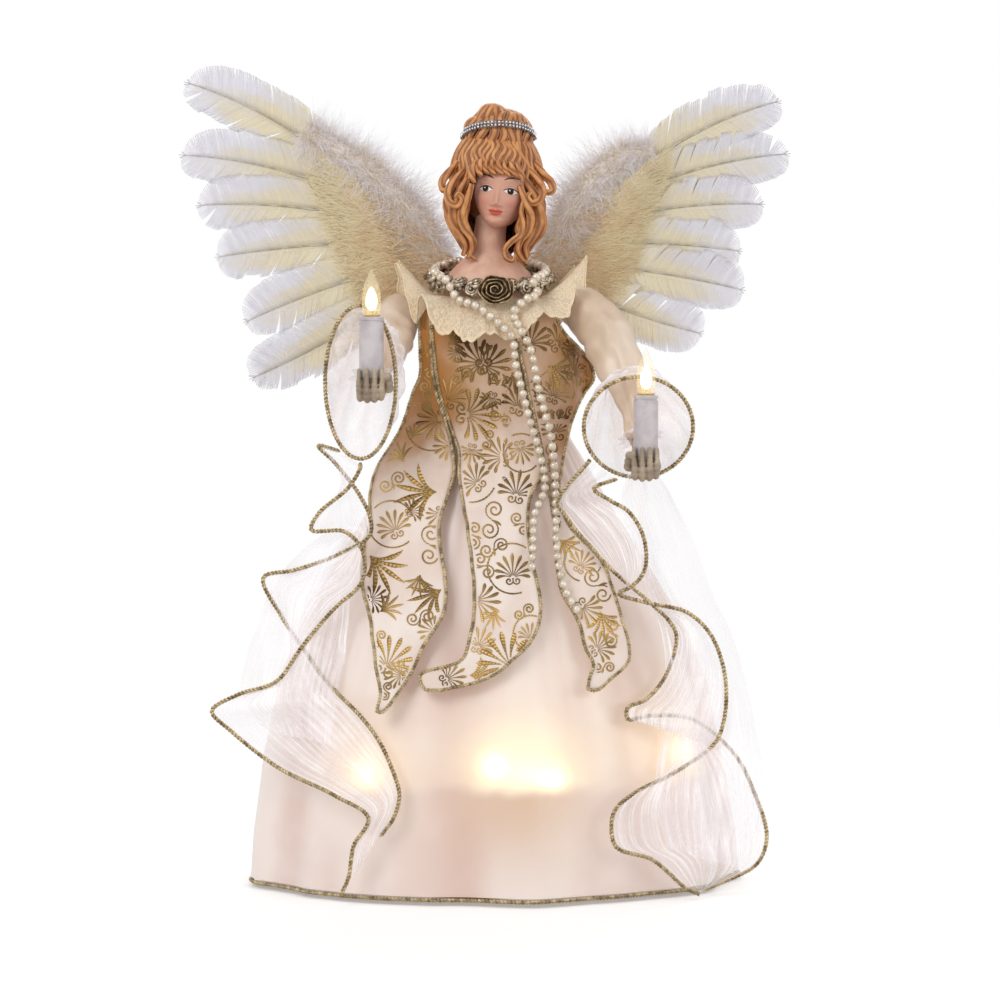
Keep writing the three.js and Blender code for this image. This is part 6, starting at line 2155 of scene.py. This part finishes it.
def make_drape(arm, pixels):
    """Fluttering organza between two wired cords that start at the bell's mouth."""
    outer = [drape_top(arm, arm.drape[0])] + [drape_point(first, OUTER_LIFT) for first, _ in pixels]
    inner = [drape_top(arm, arm.drape[1])] + [drape_point(second, 0) for _, second in pixels]

    def folds(at, share, reach):
        sag = math.sin(math.pi * share)
        bulge = 0.06 * reach * sag * math.sin(at * 41 + 1.3)
        fold = 1.2 * math.sin(share * 15 + at * 26) + 1.4 * wander(share * 5, at * 30, arm.side)
        return vec(0, -1, 0) * (bulge + sag * min(1, reach / 16) * fold * 0.8)

    shape = hanging_cloth(outer, inner, 190, 16, folds, 0.8)
    cloth = shape.piece(f"{arm.name}_organza_drape", "figure", "organza", ORGANZA, [f"{arm.name}_drape"])
    for edge, points in (("outer", outer), ("inner", inner)):
        twisted_cord(f"{arm.name}_{edge}_wired_cord", dense(points), CORD_RADIUS, CORD_PITCH,
                                  "figure", [f"{arm.name}_drape_{edge}_cord"])
    length = length_of(even(outer, 200)) * MM


LEFT_FALL = [
    ((338, 524), (352, 530)), ((300, 552), (354, 562)), ((268, 596), (350, 608)), ((252, 640), (344, 655)),
    ((240, 690), (336, 705)), ((262, 730), (330, 745)),
]
RIGHT_FALL = [
    ((630, 462), (646, 464)), ((622, 494), (670, 492)), ((626, 528), (690, 534)), ((640, 570), (712, 590)),
    ((660, 630), (738, 650)), ((668, 690), (752, 710)), ((660, 750), (764, 770)), ((655, 800), (762, 830)),
    ((668, 850), (748, 872)),
]
FALL_LIFT = -1.5


def make_fall(arm, pixels):
    """A crumpled width of the drape's organza that hangs beside the skirt."""
    first = [drape_point(a, FALL_LIFT) for a, _ in pixels]
    second = [drape_point(b, FALL_LIFT) for _, b in pixels]

    def folds(at, share, _):
        fold = 1.6 * math.sin(share * 11 + 3 * math.sin(at * 5))
        fold += 2.2 * wander(share * 4, at * 7, 3 * arm.side)
        return vec(0.8 * wander(at * 9, share * 3, 5), -fold - 2.5 * math.sin(math.pi * share), 0)

    shape = hanging_cloth(first, second, 120, 30, folds, 0.5)
    cloth = shape.piece(f"{arm.name}_organza_fall", "figure", "organza", ORGANZA)


for arm in ARMS:
    make_sleeve(arm)
    make_cuff(arm)
    make_hand(arm)
    make_candle(arm)
    make_bell(arm)
make_drape(ARMS[0], LEFT_DRAPE)
make_drape(ARMS[1], RIGHT_DRAPE)
make_fall(ARMS[0], LEFT_FALL)
make_fall(ARMS[1], RIGHT_FALL)


# Wings

class Wing:
    """A wing's side, with its feathers' tips and the line of its puff in pixels."""

    def __init__(self, name, side, tips, fluff):
        self.name, self.side, self.tips, self.fluff = name, side, tips, fluff
        self.body = f"{name}_wing"


WINGS = [
    Wing("left", -1, [(184, 82), (179, 155), (196, 206), (216, 258), (245, 323), (251, 379)],
         [(306, 130), (340, 152), (372, 175), (402, 202), (428, 232), (444, 262)]),
    Wing("right", 1, [(781, 101), (790, 154), (764, 205), (741, 252), (744, 291), (702, 334)],
         [(652, 150), (620, 158), (592, 184), (568, 214), (554, 244), (544, 268)]),
]
HINGE_ACROSS, HINGE_BOTTOM, CARD_SPAN, CARD_RISE = 8, 220, 54, 72
QUILL, VANE, FEATHER_HALF_WIDTH, FEATHER_SWEEP = 0.9, 0.45, 12.6, 8
FEATHER_PITCH = QUILL + SEAT_GAP + 0.3
CARD_FRONT = TORSO_HALF_DEPTH + 2 + SEAT_GAP
ROOTS = [(0.84, 0.9), (0.76, 0.8), (0.68, 0.69), (0.6, 0.58), (0.52, 0.46), (0.43, 0.34)]
VANE_SHARES = [
    (0, 0.07), (0.1, 0.2), (0.17, 0.62), (0.3, 0.9), (0.46, 1.0), (0.64, 1.04), (0.78, 1.04), (0.88, 0.93),
    (0.94, 0.72), (0.98, 0.4), (1, 0.12),
]
BOWS = [0.06, 0.05, 0.04, 0.02, 0.02, -0.03]
LAYER_RISE = [(0, 0), (0.05, 0), (0.3, 1)]
MARABOU_DEPTH, MARABOU_RADIUS, DOWN_LENGTH = 4.4, 9.4, 14.5
FEATHERS, BARBS, BARBS_START, BARBS_END = 6, 130, 0.06, 0.975
BARB_STEPS, BARB_STOP, QUILL_STEPS = 5, 0.97, 40
MARABOU_STRANDS, COVERT_STRANDS, CARD_STRANDS = 6400, 3600, 2600


def card_point(wing, span, rise, y):
    return vec(wing.side * (HINGE_ACROSS + CARD_SPAN * span), y, HINGE_BOTTOM + CARD_RISE * rise)


def sweep_at(across):
    return FEATHER_SWEEP * (max(0, abs(across) - HINGE_ACROSS - CARD_SPAN) / CARD_SPAN) ** 2


def feather_line(wing, k):
    """The rachis of a feather: its place and the way across the vane at a share of its length."""
    seat = CARD_FRONT - SEAT_GAP - QUILL / 2
    root = card_point(wing, *ROOTS[k], seat)
    tip = photo_point(*wing.tips[k], -(seat + FEATHER_SWEEP))
    span = tip - root
    length = math.hypot(span.x, span.z)
    rise = vec(-span.z / length, 0, span.x / length) * wing.side

    def at(share):
        p = root + span * share + rise * (4 * BOWS[k] * length * share * (1 - share))
        p.y = seat - FEATHER_PITCH * k * read_shares(LAYER_RISE, share) + sweep_at(p.x)
        return p
    return at, rise, length


def make_feather(wing, k):
    """Barbs that lie side by side in clumps along the rachis, and the quill."""
    at, rise, length = feather_line(wing, k)
    chance = random.Random(100 * k + (7 if wing.side > 0 else 3))
    shape = Shape()
    step = (BARBS_END - BARBS_START) / BARBS * length
    for side in (-1, 1):
        lower = side * wing.side > 0
        clump_left, lean, reach, droop = 0, 0.0, 1.0, 0.0
        for n in range(BARBS):
            if clump_left <= 0:
                clump_left = chance.randint(4, 16) if lower else chance.randint(12, 34)
                lean = chance.uniform(-0.02, 0.03) if lower else chance.uniform(-0.006, 0.01)
                reach = chance.uniform(0.84, 1.05) if lower else chance.uniform(0.97, 1.02)
                droop = chance.uniform(-0.3, 0.3)
            clump_left -= 1
            start = mix(BARBS_START, BARBS_END, (n + 0.5) / BARBS)
            ahead = (0.13 + lean) * (1 - 0.6 * start)
            half = FEATHER_HALF_WIDTH * read_shares(VANE_SHARES, min(1, start + ahead * 0.9))
            half *= 0.86 if side < 0 else 1.0
            half *= reach * chance.uniform(0.965, 1.0)
            onward = (at(min(1, start + 0.02)) - at(start)).normalized()
            strip = []
            for m in range(BARB_STEPS + 1):
                share = m / BARB_STEPS
                along = start + ahead * share ** 1.25
                if along > BARB_STOP:
                    along = BARB_STOP + 0.03 * math.tanh((along - BARB_STOP) / 0.06)
                camber = VANE * (0.3 + 0.6 * start) * share * share + droop * share * share
                centre = at(along) + rise * (side * (half * share)) + vec(0, camber, 0)
                width = step * (0.72 if share < 0.75 else mix(0.72, 0.2, (share - 0.75) / 0.25))
                strip.append([centre - onward * width, centre + onward * width])
            places = [[(0.5 + side * (m / BARB_STEPS) / 2, start)] * 2 for m in range(BARB_STEPS + 1)]
            shape.grid(strip, flip=side > 0, places=places)
    name = f"{wing.name}_feather_{k + 1}"
    solidify(shape.piece(f"{name}_vane", wing.body, "feather", FEATHER, [name]), 0.16)
    quill = Shape()
    marks = [n / QUILL_STEPS for n in range(QUILL_STEPS + 1)]
    points = [at(share) + vec(0, -0.12, 0) for share in marks]
    quill.tube(points, [mix(0.62, 0.13, share ** 0.8) for share in marks], sides=8)
    quill.piece(f"{name}_quill", wing.body, "feather", QUILL_HORN)


def strand(shape, root, way, droop, length, width, tone):
    """A thin curved filament of three faces round that tapers to its tip."""
    side = way.orthogonal().normalized()
    up = way.cross(side)
    rings = []
    places = []
    for m in range(4):
        share = m / 3
        p = root + way * (length * share) + droop * (share * share)
        radius = width * (1 - 0.85 * share)
        rings.append([p + (side * math.cos(turn) + up * math.sin(turn)) * radius for turn in turns_of(3)])
        places.append([(tone, share)] * 3)
    shape.close_ends(shape.grid(rings, around=True, places=places), 4, 3)


def puff_axis(path, share):
    """The middle of the puff at a share of its length, with the ways along and across it and its swell."""
    along = (curve_at(path, min(1, share + 0.02)) - curve_at(path, max(0, share - 0.02))).normalized()
    swell = max(0.2, math.sin(math.pi * (0.12 + 0.8 * share))) ** 0.7
    centre = curve_at(path, share) + vec(0, -MARABOU_DEPTH * swell, 0)
    return centre, along, vec(-along.z, 0, along.x), swell


def make_marabou(wing):
    """A lumpy core with strands of down all round."""
    back = CARD_FRONT - SEAT_GAP - QUILL - SEAT_GAP
    path = [photo_point(*pixel, -back) for pixel in wing.fluff]
    chance = random.Random(41 if wing.side > 0 else 23)
    shape = Shape()
    rows, sides = 41, 32
    core = []
    for i in range(rows):
        centre, _, across, swell = puff_axis(path, i / (rows - 1))
        line = []
        for turn in turns_of(sides):
            lump = 0.8 + 0.16 * wander(i / 3, math.cos(turn) * 2, math.sin(turn) * 2)
            line.append(centre + across * (MARABOU_RADIUS * 0.6 * swell * lump * math.cos(turn))
                        + vec(0, 1, 0) * (MARABOU_DEPTH * 0.75 * swell * lump * math.sin(turn)))
        core.append(line)
    start = shape.grid(core, around=True, places=[[(0.7, 0.25)] * sides for _ in core])
    shape.close_ends(start, rows, sides)
    for _ in range(MARABOU_STRANDS):
        share = chance.random()
        centre, along, across, swell = puff_axis(path, share)
        turn = chance.uniform(0, TAU)
        out = across * math.cos(turn) + vec(0, 1, 0) * math.sin(turn) * 0.55
        deep = MARABOU_DEPTH * 0.6 * swell * math.sin(turn)
        root = centre + across * (MARABOU_RADIUS * 0.5 * swell * math.cos(turn)) + vec(0, deep, 0)
        stray = along * chance.gauss(0, 0.45)
        way = (out + stray + vec(0, chance.gauss(0, 0.15), chance.gauss(0, 0.2))).normalized()
        tuft = 1 + 0.55 * max(0, wander(9 * share, 3.0, wing.side))
        long = chance.uniform(0.3, 1.0) ** 2 * DOWN_LENGTH * tuft * (0.5 + 0.5 * swell)
        droop = vec(chance.gauss(0, 1.2), chance.gauss(0, 0.5), chance.gauss(-0.5, 1.1))
        strand(shape, root, way, droop, long, 0.13, chance.random())
    shape.piece(f"{wing.name}_marabou_puff", wing.body, "marabou", MARABOU, [f"{wing.name}_marabou"])


def make_coverts(wing):
    """Short soft down over the roots of the long feathers and over the backing card."""
    chance = random.Random(61 if wing.side > 0 else 67)
    shape = Shape()
    front = CARD_FRONT - SEAT_GAP - QUILL / 2 - FEATHER_PITCH * (FEATHERS - 1) - 0.8
    lines = [feather_line(wing, k)[0] for k in range(FEATHERS)]
    for _ in range(COVERT_STRANDS):
        k = chance.uniform(0, FEATHERS - 1)
        first = int(k)
        share = 0.3 * chance.random() ** 1.3
        pair = [lines[first], lines[min(FEATHERS - 1, first + 1)]]
        spots = [at(share) for at in pair]
        ways = [(at(share + 0.05) - at(share)).normalized() for at in pair]
        root = spots[0].lerp(spots[1], k - first)
        root.y = mix(front, root.y - 0.4, ease((share - 0.1) / 0.35)) + chance.uniform(0, 0.8)
        stray = vec(chance.gauss(0, 0.16), chance.gauss(-0.02, 0.03), chance.gauss(0, 0.2))
        way = (ways[0].lerp(ways[1], k - first) + stray).normalized()
        droop = vec(0, chance.uniform(0, 0.5), chance.gauss(0, 0.8))
        strand(shape, root, way, droop, chance.uniform(4, 8), 0.2, chance.random())
    for _ in range(CARD_STRANDS):
        span, rise = chance.uniform(0.04, 0.86), chance.uniform(0.16, 0.98)
        if rise > 0.42 + 0.62 * span or rise < 0.1 + 0.3 * span:
            continue
        root = card_point(wing, span, rise, front + chance.uniform(-0.5, 1.2))
        way = vec(wing.side * chance.gauss(0.9, 0.25), chance.gauss(-0.05, 0.06), chance.gauss(0.35, 0.35))
        droop = vec(0, chance.uniform(0, 0.6), chance.gauss(-0.3, 0.8))
        strand(shape, root, way.normalized(), droop, chance.uniform(4, 9), 0.22, chance.random())
    shape.piece(f"{wing.name}_wing_down", wing.body, "feather", DOWN)


for wing in WINGS:
    for feather in range(FEATHERS):
        make_feather(wing, feather)
    make_marabou(wing)
    make_coverts(wing)


# Finishes of the pieces that stay as the frame has them

def dress(name, finish):
    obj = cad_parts[name]
    obj.data.materials.clear()
    obj.data.materials.append(finish)


SKIRT_LAMPS = 6
dress("tree_cone", PLASTIC)
for lamp in range(1, SKIRT_LAMPS + 1):
    dress(f"skirt_lamp_holder_{lamp}", HOLDER)
    dress(f"skirt_lamp_{lamp}", SKIRT_LAMP)
for wing in WINGS:
    dress(f"{wing.name}_wing_card", CARD)
